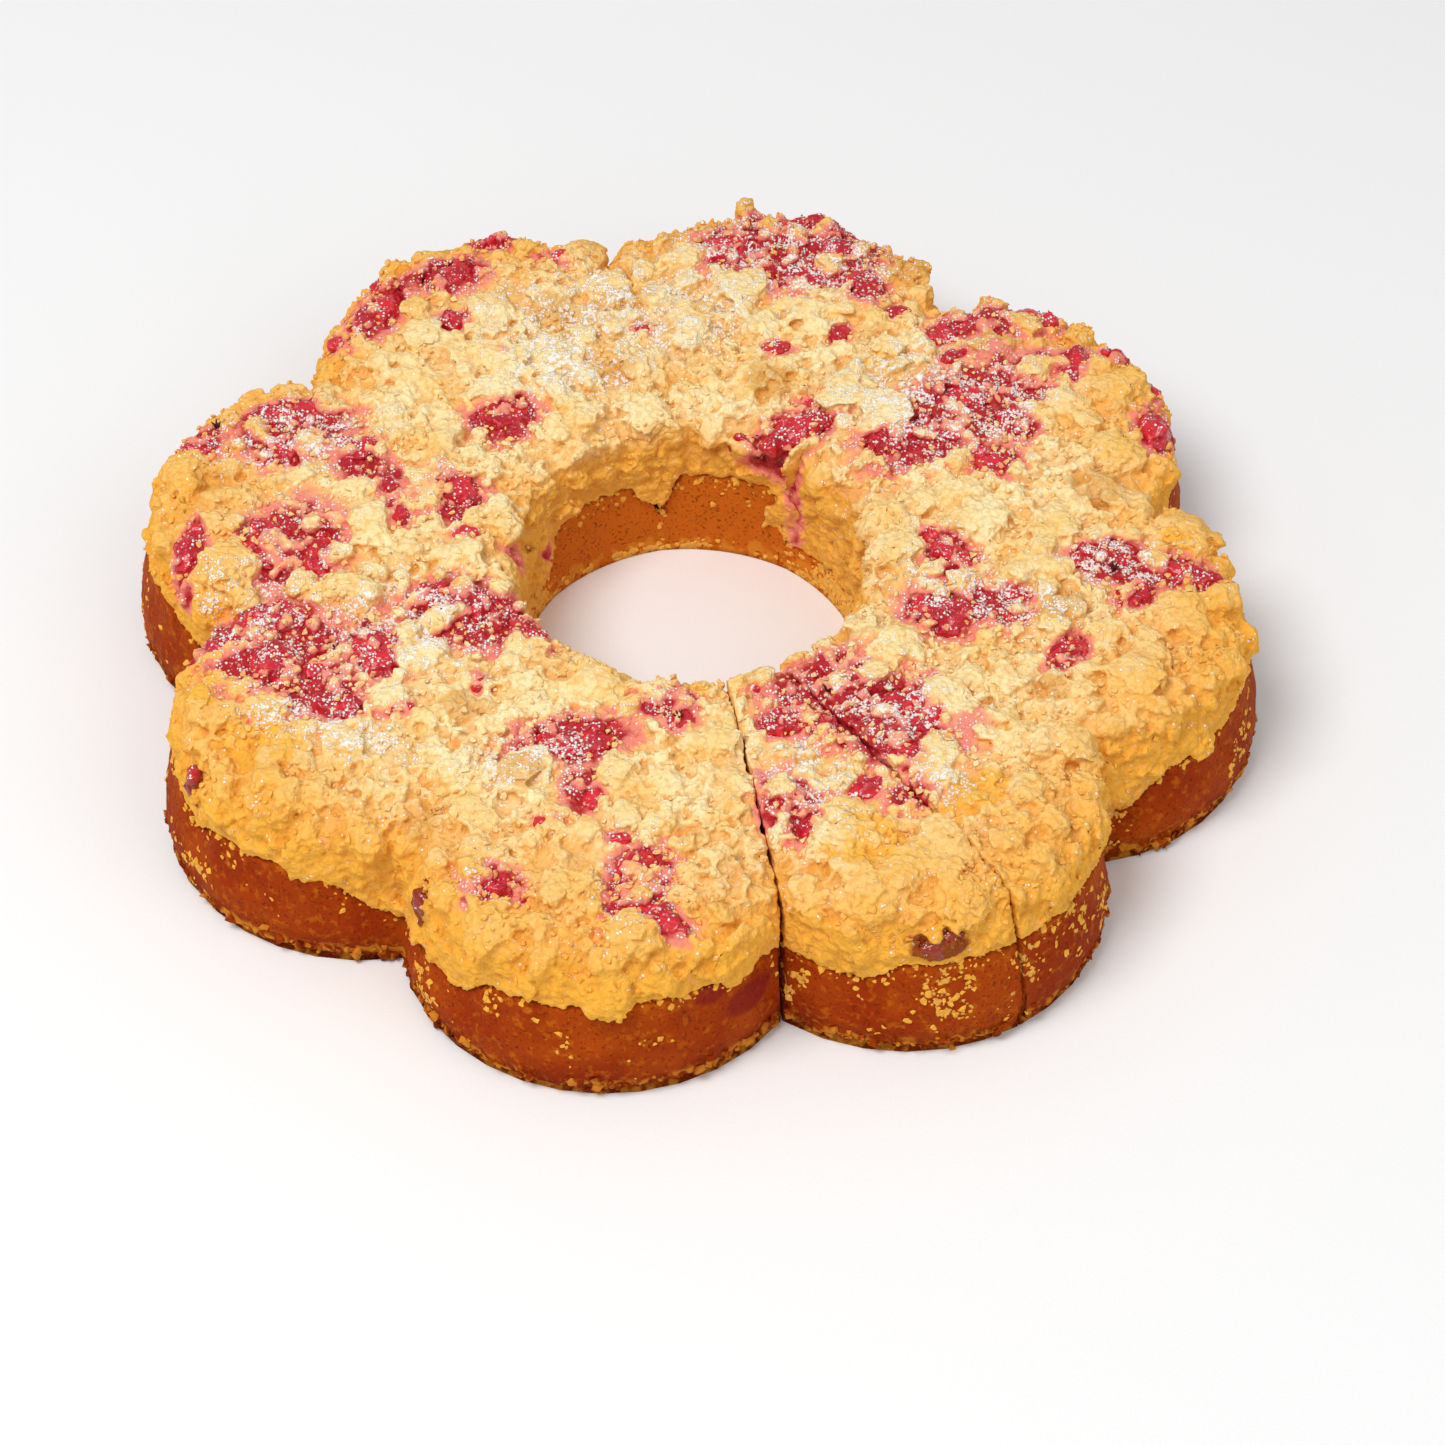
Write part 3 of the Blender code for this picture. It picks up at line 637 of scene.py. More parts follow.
def skin_of(piece):
    """The skin of a piece, for finding places on it."""
    mesh = piece.data
    return BVHTree.FromPolygons(
        [vertex.co for vertex in mesh.vertices], [face.vertices for face in mesh.polygons])


def rise_over(piece, ground):
    """How far each point of a piece stands over the ground's skin, in millimetres."""
    skin = skin_of(ground)
    rises = []
    for vertex in piece.data.vertices:
        place, normal, _, far = skin.find_nearest(vertex.co)
        rises.append(math.copysign(far, (vertex.co - place).dot(normal)) / MM)
    return np.array(rises)


def press_heaps(piece, ground):
    """Press down softly what stands far over the ground, as heaped crumbs slump in the oven."""
    places = points_of(piece)
    rise = rise_over(piece, ground)
    over = np.maximum(rise - HEAP_HEIGHT, 0.0)
    places[:, 2] -= over - HEAP_SLUMP * (1.0 - np.exp(-over / HEAP_SLUMP))
    set_points(piece, places)


def mark_streusel(piece, ground):
    """Keep what the streusel's finish needs to know of each point."""
    places = points_of(piece)
    rise = rise_over(piece, ground)
    top_juice = juice_at(places)
    juice = np.maximum(top_juice, 0.75 * wall_stains(places, HOLE_JUICE, JUICE_REACH, False))
    store(piece, "red", 1.25 * juice - 0.45 * np.maximum(rise - 0.5, 0.0) + 0.35 * clouds(places, 4.0, 2))
    store(piece, "rise", rise)
    store(piece, "mark", wall_stains(places, WALL_FRUIT, MARK_REACH))
    store(piece, "toast", stains(places, TOAST, TOAST_REACH, TOP_FLOOR))
    store(piece, "yolk", stains(places, YOLK, 1.4, 24.0) - 0.12 * rise)
    store(piece, "sugar", np.maximum(stains(places, SUGAR, SUGAR_REACH, TOP_FLOOR), 0.5 * top_juice))
    # Relief and crease place the finish's painted highlight on raised crumbs and painted shade in the gaps
    store(piece, "relief", relief_of(piece, 24))
    store(piece, "crease", relief_of(piece, 4))


def finish_piece(piece, name, nodes, finish):
    """Name a finished piece, hang it from the root body, hide the nodes it stands for and give it its
    finish.
    """
    piece.name = name
    piece.data.name = name
    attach(piece, "root")
    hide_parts(*nodes)
    piece.data.materials.clear()
    piece.data.materials.append(finish)
    return piece


def make_streusel(name, node, planes, cuts, sizes):
    """One piece of the streusel: crumbs strewn over a copy of its node and baked together."""
    core = copied([node], name)
    for plane in planes:
        trim(core, *plane)
    core = join([core, fruit_bed("filling", FRUIT_GROUPS[name], FILLING_DROP)])
    rounded_hole(core)
    ground = twin(core, "ground")
    remesh(ground, GROUND_STEP * MM)
    apply_all(ground)
    places, facing = points_of(ground), normals_of(ground)
    open_side = np.clip((facing[:, 2] + 0.3) * 5.0, 0.0, 1.0)
    for direction, *_ in planes + cuts:
        turn = math.radians(direction)
        across = facing[:, 1] * math.cos(turn) - facing[:, 0] * math.sin(turn)
        open_side[np.abs(across) > 0.97] = 0.0
    juice = juice_at(places)
    heaps = np.clip(0.5 + 2.2 * clouds(places, 9.0, 1), 0.0, 1.0)
    seed = sum(ord(letter) for letter in name)
    crumbs = strew(
        ground, "crumbs", open_side * (0.4 + 0.6 * heaps) * (1.0 - 0.5 * juice * (1.0 - heaps)),
        sizes.crumb_spacing, 1.6 * MM, sizes.crumb_size, seed, 0.35)
    lumps = strew(
        ground, "lumps", open_side * (1.0 - 0.85 * juice * (1.0 - 0.6 * heaps)),
        sizes.lump_spacing, 4.5 * MM, sizes.lump_size, seed + 9, 0.15)
    clumps = strew(
        ground, "clumps", open_side * (1.0 - juice), sizes.clump_spacing, 9.0 * MM, sizes.clump_size,
        seed + 18, 0.0, 3, 0.25)
    body = join([core, crumbs, lumps, clumps])
    remesh(body, sizes.voxel * (1.0))
    soften(body, 1)
    displace(body, "clods", "VORONOI", 6.0, -1.5, 0.45)
    displace(body, "granules", "VORONOI", sizes.granule / MM, -0.7, 0.4)
    displace(body, "grain", "CLOUDS", sizes.grain / MM, 0.8)
    apply_all(body)
    for cut in cuts:
        knife(body, *cut)
    press_heaps(body, ground)
    keep_in_box(body)
    mark_streusel(body, ground)
    bpy.data.objects.remove(ground, do_unlink=True)
    return finish_piece(body, f"streusel_{name}", [node], streusel_finish())


def make_loose_crumbs(sizes):
    """Loose crumbs on top of the baked streusel."""
    heaps = []
    for number, name in enumerate(FRUIT_GROUPS):
        body = bpy.data.objects[f"streusel_{name}"]
        places = points_of(body)
        flat = np.clip((normals_of(body)[:, 2] - 0.3) * 3.0, 0.0, 1.0)
        drifts = np.clip(0.45 + 2.0 * clouds(places, 12.0, 3) + 0.7 * juice_at(places), 0.05, 1.0)
        heaps.append(strew(
            body, f"heap_{number}", flat * drifts, sizes.loose_spacing, 0.9 * MM, sizes.loose_size,
            number, 0.25, 1))
    piece = join(heaps)
    keep_in_box(piece)
    places = points_of(piece)
    store(piece, "red", 0.5 * juice_at(places) + 0.5 * clouds(places, 5.0, 2) - 0.15)
    store(piece, "toast", stains(places, TOAST, TOAST_REACH, TOP_FLOOR))
    store(piece, "sugar", stains(places, SUGAR, SUGAR_REACH, TOP_FLOOR))
    store_same(piece, yolk=0.0, relief=0.3, crease=0.1, rise=2.0)
    return finish_piece(piece, "loose_crumbs", STREUSEL_NODES, streusel_finish())


def make_dough(name, node):
    """One piece of the browned dough, with a porous crust and a crumbly foot."""
    piece = copied([node], name)
    bpy.ops.object.mode_set(mode="EDIT")
    bpy.ops.mesh.select_mode(type="FACE")
    bpy.ops.mesh.select_all(action="DESELECT")
    bpy.ops.object.mode_set(mode="OBJECT")
    for face in piece.data.polygons:
        radial = face.center.xy.normalized()
        face.select = abs(face.normal.z) < 0.75 and abs(face.normal.xy.normalized().dot(radial)) > 0.3
    bpy.ops.object.mode_set(mode="EDIT")
    bpy.ops.mesh.subdivide(number_cuts=8)
    bpy.ops.object.mode_set(mode="OBJECT")
    places = points_of(piece)
    radius = np.hypot(places[:, 0], places[:, 1])
    wall = piece.vertex_groups.new(name="wall")
    foot = piece.vertex_groups.new(name="foot")
    for index, (height, out) in enumerate(zip(places[:, 2], radius)):
        if height > 0.05:
            wall.add([index], 1.0, "REPLACE")
        if 0.05 < height < 9.0 and out > 60.0:
            foot.add([index], 1.0 - height / 9.0, "REPLACE")
    displace(piece, "swell", "CLOUDS", 16.0, 0.7, 1.0, "wall")
    displace(piece, "crust", "CLOUDS", 3.5, 0.5, 1.0, "wall")
    displace(piece, "foot", "CLOUDS", 2.4, 3.0, 1.0, "foot")
    apply_all(piece)
    rounded_hole(piece)
    piece.data.shade_smooth()
    keep_in_box(piece)
    places = points_of(piece)
    store(piece, "juice", np.maximum(
        wall_stains(places, CRUST_JUICE, JUICE_REACH),
        wall_stains(places, HOLE_JUICE, JUICE_REACH, False)))
    store(piece, "dust", stuck_share(places))
    torn = np.clip(0.6 + 2.0 * clouds(places, 2.5, 9), 0.0, 1.0)
    store(piece, "golden", torn * np.clip((9.0 - places[:, 2]) / 5.0, 0.0, 1.0))
    return finish_piece(piece, name, [node], crust_finish())


def stuck_share(places):
    """How thickly pale crumbs stick to each place of the crust."""
    radius = np.hypot(places[:, 0], places[:, 1])
    angles = np.degrees(np.arctan2(places[:, 1], places[:, 0])) - FRONT_PETAL
    seam = np.abs((angles + PETAL_STEP / 2) % PETAL_STEP / (PETAL_STEP / 2) - 1.0)
    drifts = np.clip(3.0 * clouds(places, 7.0, 4) - 0.9, 0.0, 0.35) * (places[:, 2] > 6.0)
    ragged = np.clip(0.6 + 2.6 * clouds(places, 3.2, 7), 0.0, 1.0)
    outer = np.maximum(wall_stains(places, STUCK_CRUMBS, 1.8) * ragged, drifts)
    top = np.clip((places[:, 2] - 16.0) / 12.0, 0.0, 1.0)
    foot = np.clip((4.5 - places[:, 2]) / 3.0, 0.0, 1.0)
    inner = np.maximum.reduce([0.8 * top, foot, 0.7 * np.clip((seam - 0.86) / 0.1, 0.0, 1.0)])
    inner *= np.clip(0.75 + 1.5 * clouds(places, 6.0, 5), 0.0, 1.0)
    inner = np.maximum(inner, 1.2 * wall_stains(places, HOLE_PALE, 1.2, False))
    return np.where(radius > HOLE_ZONE, outer, inner)


def make_wall_crumbs():
    """Pale crumbs that stuck to the crust, and browned ones along its foot."""
    stuck, browned = [], []
    for number, name in enumerate(("dough_ring", "dough_slice")):
        body = bpy.data.objects[name]
        places = points_of(body)
        facing = normals_of(body)
        radial = (places[:, :2] * facing[:, :2]).sum(axis=1) / np.hypot(places[:, 0], places[:, 1])
        upright = np.clip(2.0 * np.abs(radial) - 0.4, 0.0, 1.0) * (places[:, 2] > 0.8)
        under_edge = np.abs(rise_over(body, frame["nodes"][STREUSEL_NODES[number]]))
        reach = 2.5 + 5.0 * clouds(places, 9.0, 8).clip(-0.4, 1.0)
        fallen = np.clip(1.1 - under_edge / reach, 0.0, 0.8) * (under_edge > 0.3)
        stuck.append(strew(
            body, f"stuck_{number}", upright * np.maximum(stuck_share(places), fallen), 1.2 * MM,
            0.7 * MM, 2.6 * MM, 40 + number, 0.0, 1, 0.4))
        low = np.clip((7.0 - places[:, 2]) / 4.0, 0.0, 1.0) * (radial > 0.0)
        browned.append(strew(
            body, f"foot_{number}", upright * low, 1.5 * MM, 1.0 * MM, 3.6 * MM, 50 + number, 0.15, 1, 0.9))
    piece = join(stuck)
    keep_in_box(piece)
    places = points_of(piece)
    store(piece, "red", 0.9 * wall_stains(places, HOLE_JUICE, JUICE_REACH, False))
    store(piece, "mark", wall_stains(places, WALL_FRUIT, MARK_REACH))
    store_same(piece, toast=0.3, yolk=0.0, sugar=0.0, relief=0.2, crease=0.1, rise=1.0)
    finish_piece(piece, "stuck_crumbs", STREUSEL_NODES, streusel_finish())
    piece = join(browned)
    keep_in_box(piece)
    store_same(piece, juice=0.0, dust=0.0)
    store(piece, "golden", np.clip(0.5 + 2.0 * clouds(points_of(piece), 4.0, 6), 0.0, 1.0))
    finish_piece(piece, "foot_crumbs", DOUGH_NODES, crust_finish())


def make_fruit(name, numbers, sizes):
    """The fruit patches of one petal: collapsed berries in their juice."""
    bed = fruit_bed("bed", numbers, BED_DROP)
    berries = strew(
        bed, "berries", np.ones(len(bed.data.vertices)), 0.8 * sizes.berry_size,
        0.6 * sizes.berry_size, sizes.berry_size, 5, -0.1)
    return wrinkled(join([bed, berries]), f"fruit_{name}", fruit_nodes(numbers))


def wrinkled(piece, name, nodes):
    """Fuse berries into one wet, wrinkled body and finish it."""
    rounded_hole(piece)
    remesh(piece, FRUIT_STEP * 1.0 * MM)
    soften(piece, 1)
    displace(piece, "folds", "CLOUDS", 3.5, 2.4, 0.6)
    displace(piece, "skin", "CLOUDS", 1.2, 0.6)
    apply_all(piece)
    keep_in_box(piece)
    store(piece, "relief", relief_of(piece, 16))
    store(piece, "sugar", stains(points_of(piece), SUGAR, SUGAR_REACH, SLOPE_FLOOR))
    return finish_piece(piece, name, nodes, fruit_finish())


def ground_height():
    """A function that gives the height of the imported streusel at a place."""
    skins = [skin_of(frame["nodes"][name]) for name in STREUSEL_NODES]

    def height(x, y):
        above, down = Vector((x * MM, y * MM, 1.0)), Vector((0.0, 0.0, -1.0))
        tops = [skin.ray_cast(above, down)[0] for skin in skins]
        return max(top.z for top in tops if top)

    return height


def make_fruit_bits():
    """Single berries and scraps of skin between the patches."""
    height = ground_height()
    bits = []
    for x, y, long, wide, direction in FRUIT_BITS:
        deselect()
        bpy.ops.mesh.primitive_ico_sphere_add(
            subdivisions=3, radius=0.5 * MM, location=(x * MM, y * MM, height(x, y) - BIT_DROP * MM),
            rotation=(0.1, -0.1, math.radians(direction)), scale=(long, wide, 3.6))
        bits.append(bpy.context.active_object)
    piece = join(bits)
    bpy.ops.object.transform_apply(location=True, rotation=True, scale=True)
    return wrinkled(piece, "fruit_bits", STREUSEL_NODES)


def make_calyxes():
    """Dried flower ends of the berries: small dark tufts of five points."""
    height = ground_height()
    tufts = []
    for number, (x, y) in enumerate(CALYXES):
        for point in range(5):
            turn = math.radians(72 * point + 25 * number)
            lean = 0.5 + 0.12 * ((number + point) % 3)
            deselect()
            bpy.ops.mesh.primitive_cone_add(
                vertices=6, radius1=0.65 * MM, radius2=0.1 * MM, depth=2.6 * MM,
                location=((x + 0.6 * math.cos(turn)) * MM, (y + 0.6 * math.sin(turn)) * MM,
                          height(x, y) + 1.4 * MM),
                rotation=(0.0, lean, turn))
            tufts.append(bpy.context.active_object)
    piece = join(tufts)
    bpy.ops.object.transform_apply(location=True, rotation=True, scale=True)
    keep_in_box(piece)
    return finish_piece(piece, "calyxes", STREUSEL_NODES, calyx_finish())


def new_finish(name):
    """An empty Principled material: its tree, its shader and the place in the object."""
    material = bpy.data.materials.new(name)
    material.use_nodes = True
    tree = material.node_tree
    place = add_node(tree, "ShaderNodeTexCoord").outputs["Object"]
    return material, tree, tree.nodes["Principled BSDF"], place


def set_shader(tree, shader, colour, height, values):
    """Feed a shader with a colour, a fine relief and constant numbers."""
    bump = add_node(tree, "ShaderNodeBump", {"Height": height, "Distance": 0.5 * MM, "Strength": 0.7})
    tree.links.new(colour.outputs[2], shader.inputs["Base Color"])
    tree.links.new(bump.outputs[0], shader.inputs["Normal"])
    for name, value in values.items():
        shader.inputs[name].default_value = value


def layered(tree, colour, layers):
    """Lay colours over one another: each with its value, the value's start and end, and a strength."""
    for over, value, start, full, strength in layers:
        share = add_node(tree, "ShaderNodeMapRange", {
            "Value": value, "From Min": start, "From Max": full, "To Max": strength},
            interpolation_type="SMOOTHSTEP")
        colour = add_node(tree, "ShaderNodeMix", {0: share, 6: colour, 7: over}, data_type="RGBA")
    return colour


def sugar_grains(tree, place, least, most):
    """Where icing sugar lies: in drifts, on what faces up.

    Real grains are finer than 0.1 mm and cling together; they are drawn 0.5 mm wide."""
    cells = add_node(tree, "ShaderNodeTexVoronoi", {"Vector": place, "Scale": 1.0 / (0.75 * MM)})
    near = add_node(tree, "ShaderNodeMapRange", {
        "Value": cells, "From Min": 0.6, "From Max": 0.35}, interpolation_type="SMOOTHSTEP")
    pick = add_node(tree, "ShaderNodeSeparateColor", {0: cells.outputs["Color"]})
    clusters = add_node(tree, "ShaderNodeTexNoise", {"Vector": place, "Scale": 1.0 / (5.0 * MM)})
    drift = add_node(tree, "ShaderNodeMapRange", {
        "Value": clusters, "From Min": 0.38, "From Max": 0.62, "To Min": 0.1},
        interpolation_type="SMOOTHSTEP")
    kept = add_node(tree, "ShaderNodeAttribute", attribute_name="sugar").outputs["Fac"]
    fallen = add_node(tree, "ShaderNodeMath", {0: kept, 1: most, 2: least}, operation="MULTIPLY_ADD")
    facing = add_node(tree, "ShaderNodeNewGeometry").outputs["Normal"]
    rise = add_node(tree, "ShaderNodeSeparateXYZ", {0: facing}).outputs["Z"]
    settled = add_node(tree, "ShaderNodeMapRange", {
        "Value": rise, "From Min": 0.3, "From Max": 0.75}, interpolation_type="SMOOTHSTEP")
    share = add_node(tree, "ShaderNodeMath", {0: fallen, 1: drift}, operation="MULTIPLY")
    share = add_node(tree, "ShaderNodeMath", {0: share, 1: settled}, operation="MULTIPLY")
    chosen = add_node(tree, "ShaderNodeMath", {0: pick, 1: share}, operation="LESS_THAN")
    grains = add_node(tree, "ShaderNodeMath", {0: near, 1: chosen}, operation="MULTIPLY")
    soft = add_node(tree, "ShaderNodeTexNoise", {"Vector": place, "Scale": 1.0 / (1.1 * MM)})
    heaped = add_node(tree, "ShaderNodeMath", {0: share, 1: 0.26, 2: soft}, operation="MULTIPLY_ADD")
    powder = add_node(tree, "ShaderNodeMapRange", {
        "Value": heaped, "From Min": 0.62, "From Max": 0.8, "To Max": 0.8}, interpolation_type="SMOOTHSTEP")
    return add_node(tree, "ShaderNodeMath", {0: grains, 1: powder}, operation="MAXIMUM")


def streusel_finish():
    """Butter streusel, baked: rubbed crumbs of flour, butter and sugar.

    Matt and sandy, pale, with a painted highlight on the raised crumbs and painted shade, orange, in the
    gaps; red where juice has risen."""
    known = bpy.data.materials.get("baked_streusel")
    if known:
        return known
    colours = bpy.context.scene.cake_colours
    material, tree, shader, place = new_finish("baked_streusel")
    height = add_node(tree, "ShaderNodeSeparateXYZ", {0: place}).outputs["Z"]
    broad, fine, sand = (
        add_node(tree, "ShaderNodeTexNoise", {"Vector": place, "Scale": 1.0 / (width * MM)})
        for width in (14.0, 3.0, 0.8))
    relief, crease, rise = (
        add_node(tree, "ShaderNodeAttribute", attribute_name=name).outputs["Fac"]
        for name in ("relief", "crease", "rise"))
    facing = add_node(tree, "ShaderNodeNewGeometry").outputs["Normal"]
    upward = add_node(tree, "ShaderNodeSeparateXYZ", {0: facing}).outputs["Z"]
    flat = add_node(tree, "ShaderNodeVectorMath", {0: place, 1: (1.0, 1.0, 0.0)}, operation="MULTIPLY")
    radius = add_node(tree, "ShaderNodeVectorMath", {0: flat}, operation="LENGTH").outputs["Value"]
    red, mark, toast, yolk = (
        add_node(tree, "ShaderNodeMath", {
            0: fine, 1: unevenness,
            2: add_node(tree, "ShaderNodeAttribute", attribute_name=name).outputs["Fac"]},
            operation="MULTIPLY_ADD")
        for name, unevenness in (("red", 0.5), ("mark", 0.8), ("toast", 1.4), ("yolk", 0.8)))
    pushed = add_node(tree, "ShaderNodeVectorMath", {
        0: fine.outputs["Color"], 1: (0.002, 0.002, 0.002), 2: place}, operation="MULTIPLY_ADD")
    granules = add_node(tree, "ShaderNodeTexVoronoi", {"Vector": pushed, "Scale": 1.0 / (1.7 * MM)})
    grains = sugar_grains(tree, place, 0.03, 0.8)
    colour = layered(tree, colours.streusel, (
        (colours.streusel_deep, broad, 0.35, 0.75, 1.0),
        (colours.streusel_deep, fine, 0.45, 0.75, 0.6),
        # Painted highlight: raised crumbs are made paler by their relief
        (colours.crumb_highlight, relief, 0.2, 1.0, 0.6),
        (colours.streusel_wall, upward, 0.8, 0.2, 0.4),
        (colours.streusel_wall, radius, 98.0 * MM, 136.0 * MM, 0.75),
        (colours.streusel_wall, height, 45.0 * MM, 36.0 * MM, 0.9),
        # Painted highlight again, strongest on the highest crumbs
        (colours.crumb_highlight, relief, 0.4, 1.4, 0.5),
        (colours.yolk, yolk, 0.8, 1.2, 0.85),
        # Painted shade: orange where the streusel lies low between crumbs and in the hollows of its relief
        (colours.crevice_shade, rise, 1.0, -0.3, 0.35),
        (colours.crevice_shade, relief, -0.2, -1.0, 0.4),
        (colours.toasted, toast, 1.2, 1.7, 0.6),
        # Painted shade: orange in fine creases and between the granules
        (colours.crevice_shade, crease, -0.03, -0.25, 0.65),
        (colours.crevice_shade, granules, 0.45, 0.8, 0.35),
        (colours.soaked, red, 0.3, 0.6, 0.6),
        (colours.juice, red, 0.5, 0.9, 0.75),
        (colours.fruit, red, 0.95, 1.35, 0.95),
        (colours.fruit_dark_and_shade, red, 1.5, 1.9, 0.6),
        (colours.baked_fruit, mark, 0.85, 1.2, 0.9),
        (colours.sugar, grains, 0.0, 1.0, 0.9)))
    wet = add_node(tree, "ShaderNodeMapRange", {
        "Value": red, "From Min": 0.9, "From Max": 1.3, "To Min": 0.85, "To Max": 0.35})
    tree.links.new(wet.outputs[0], shader.inputs["Roughness"])
    ridges = add_node(tree, "ShaderNodeMath", {0: sand, 1: grains}, operation="ADD")
    ridges = add_node(tree, "ShaderNodeMath", {0: granules, 1: -1.6, 2: ridges}, operation="MULTIPLY_ADD")
    set_shader(tree, shader, colour, ridges, {
        "Specular IOR Level": 0.2, "Subsurface Weight": 0.12, "Subsurface Radius": (1.0, 0.6, 0.25),
        "Subsurface Scale": 2.0 * MM})
    return material


def crust_finish():
    """Yeast dough crust, browned against the tin: satin, finely porous, darkest at the foot."""
    known = bpy.data.materials.get("browned_crust")
    if known:
        return known
    colours = bpy.context.scene.cake_colours
    material, tree, shader, place = new_finish("browned_crust")
    height = add_node(tree, "ShaderNodeSeparateXYZ", {0: place}).outputs["Z"]
    flat = add_node(tree, "ShaderNodeVectorMath", {0: place, 1: (1.0, 1.0, 0.0)}, operation="MULTIPLY")
    radius = add_node(tree, "ShaderNodeVectorMath", {0: flat}, operation="LENGTH").outputs["Value"]
    broad, fine, pores = (
        add_node(tree, "ShaderNodeTexNoise", {
            "Vector": place, "Scale": 1.0 / (width * MM), "Detail": detail})
        for width, detail in ((20.0, 2.0), (2.2, 2.0), (0.9, 5.0)))
    juice, dust, golden = (
        add_node(tree, "ShaderNodeAttribute", attribute_name=name).outputs["Fac"]
        for name in ("juice", "dust", "golden"))
    height, juice, dust = (
        add_node(tree, "ShaderNodeMath", {0: fine, 1: unevenness, 2: value}, operation="MULTIPLY_ADD")
        for unevenness, value in ((12.0 * MM, height), (0.8, juice), (2.4, dust)))
    colour = layered(tree, colours.crust, (
        (colours.crust_light, broad, 0.35, 0.75, 0.6),
        (colours.crust_light, height, 28.0 * MM, 40.0 * MM, 0.9),
        (colours.crust_dark, height, 15.0 * MM, 7.0 * MM, 0.5),
        (colours.hole_crust, radius, 60.0 * MM, 50.0 * MM, 0.85),
        (colours.golden_crust, fine, 0.52, 0.72, 0.5),
        (colours.crust_dark, pores, 0.54, 0.68, 0.7),
        (colours.torn_crust, golden, 0.4, 0.9, 0.8),
        (colours.crust_juice, juice, 0.8, 1.2, 0.7),
        (colours.crust_dust, dust, 2.05, 2.25, 0.85)))
    set_shader(tree, shader, colour, pores, {"Roughness": 0.7, "Specular IOR Level": 0.06})
    return material


def fruit_finish():
    """Redcurrants, burst in the oven: wet, deep red, pink where they are thin, sugared."""
    known = bpy.data.materials.get("burst_redcurrant")
    if known:
        return known
    colours = bpy.context.scene.cake_colours
    material, tree, shader, place = new_finish("burst_redcurrant")
    broad, fine = (
        add_node(tree, "ShaderNodeTexNoise", {"Vector": place, "Scale": 1.0 / (width * MM)})
        for width in (6.0, 1.8))
    relief = add_node(tree, "ShaderNodeAttribute", attribute_name="relief").outputs["Fac"]
    height = add_node(tree, "ShaderNodeSeparateXYZ", {0: place}).outputs["Z"]
    grains = sugar_grains(tree, place, 0.25, 0.55)
    colour = layered(tree, colours.fruit, (
        (colours.fruit_light, broad, 0.35, 0.65, 1.0),
        (colours.juice, fine, 0.58, 0.78, 0.5),
        # Painted shade: the fruit is darkened in the hollows between its folds
        (colours.fruit_dark_and_shade, relief, 0.0, -0.7, 0.9),
        (colours.baked_fruit, height, 41.0 * MM, 37.0 * MM, 0.85),
        (colours.sugar, grains, 0.0, 1.0, 0.9)))
    rough = add_node(tree, "ShaderNodeMapRange", {"Value": grains, "To Min": 0.25, "To Max": 0.8})
    tree.links.new(rough.outputs[0], shader.inputs["Roughness"])
    ridges = add_node(tree, "ShaderNodeMath", {0: fine, 1: grains}, operation="ADD")
    set_shader(tree, shader, colour, ridges, {
        "Specular IOR Level": 0.4, "Subsurface Weight": 0.1, "Subsurface Radius": (1.0, 0.1, 0.1),
        "Subsurface Scale": 2.0 * MM, "Coat Weight": 0.25, "Coat Roughness": 0.15})
    return material


def calyx_finish():
    """Dried, scorched plant skin: matt and almost black."""
    colours = bpy.context.scene.cake_colours
    material, tree, shader, place = new_finish("dried_calyx")
    fine = add_node(tree, "ShaderNodeTexNoise", {"Vector": place, "Scale": 1.0 / (1.0 * MM)})
    colour = layered(tree, colours.calyx, ((colours.calyx_light, fine, 0.5, 0.7, 1.0),))
    set_shader(tree, shader, colour, fine, {"Roughness": 0.7, "Specular IOR Level": 0.3})
    return material


def floor_finish():
    """Matt white studio board."""
    material, tree, shader, place = new_finish("studio_board")
    fibre = add_node(tree, "ShaderNodeTexNoise", {"Vector": place, "Scale": 1.0 / (0.6 * MM)})
    colours = bpy.context.scene.cake_colours
    colour = layered(tree, colours.floor, ((colours.floor_fibre, fibre, 0.4, 0.6, 1.0),))
    tree.links.new(colour.outputs[2], shader.inputs["Base Color"])
    shader.inputs["Roughness"].default_value = 0.9
    return material


class CAKE_OT_dough(bpy.types.Operator):
    """Dress the ring and the slice of dough with their crust"""

    bl_idname = "cake.dough"
    bl_label = "Browned dough"

    def execute(self, context):
        make_dough("dough_ring", "ring_dough")
        make_dough("dough_slice", "slice_dough")
        make_wall_crumbs()
        return {"FINISHED"}


class CAKE_OT_streusel(bpy.types.Operator):
    """Bake the crumbs over the ring and the slice"""

    bl_idname = "cake.streusel"
    bl_label = "Streusel"

    def execute(self, context):
        sizes = context.scene.cake_sizes
        for petal, name in enumerate(SECTORS):
            middle = FRONT_PETAL + petal * PETAL_STEP
            planes, cuts = [], []
            if name == "b_right_front":
                planes.append((RIGHT_CUT, RIGHT_CUT_OFFSET, 1, UNBAKED_EDGE))
                cuts.append((RIGHT_CUT, RIGHT_CUT_OFFSET, 1, -HALF_CUT_GAP))
            else:
                planes.append((middle - PETAL_STEP / 2, 0.0, 1, SEAM_OVERLAP))
            if name == "a_front":
                planes.append((LEFT_CUT, 0.0, -1, UNBAKED_EDGE))
                cuts.append((LEFT_CUT, 0.0, -1, -HALF_CUT_GAP))
            else:
                planes.append((middle + PETAL_STEP / 2, 0.0, -1, SEAM_OVERLAP))
            make_streusel(name, "ring_streusel", planes, cuts, sizes)
        cuts = [(LEFT_CUT, 0.0, 1, -HALF_CUT_GAP), (RIGHT_CUT, RIGHT_CUT_OFFSET, -1, -HALF_CUT_GAP)]
        make_streusel("slice", "slice_streusel", [], cuts, sizes)
        make_loose_crumbs(sizes)
        return {"FINISHED"}


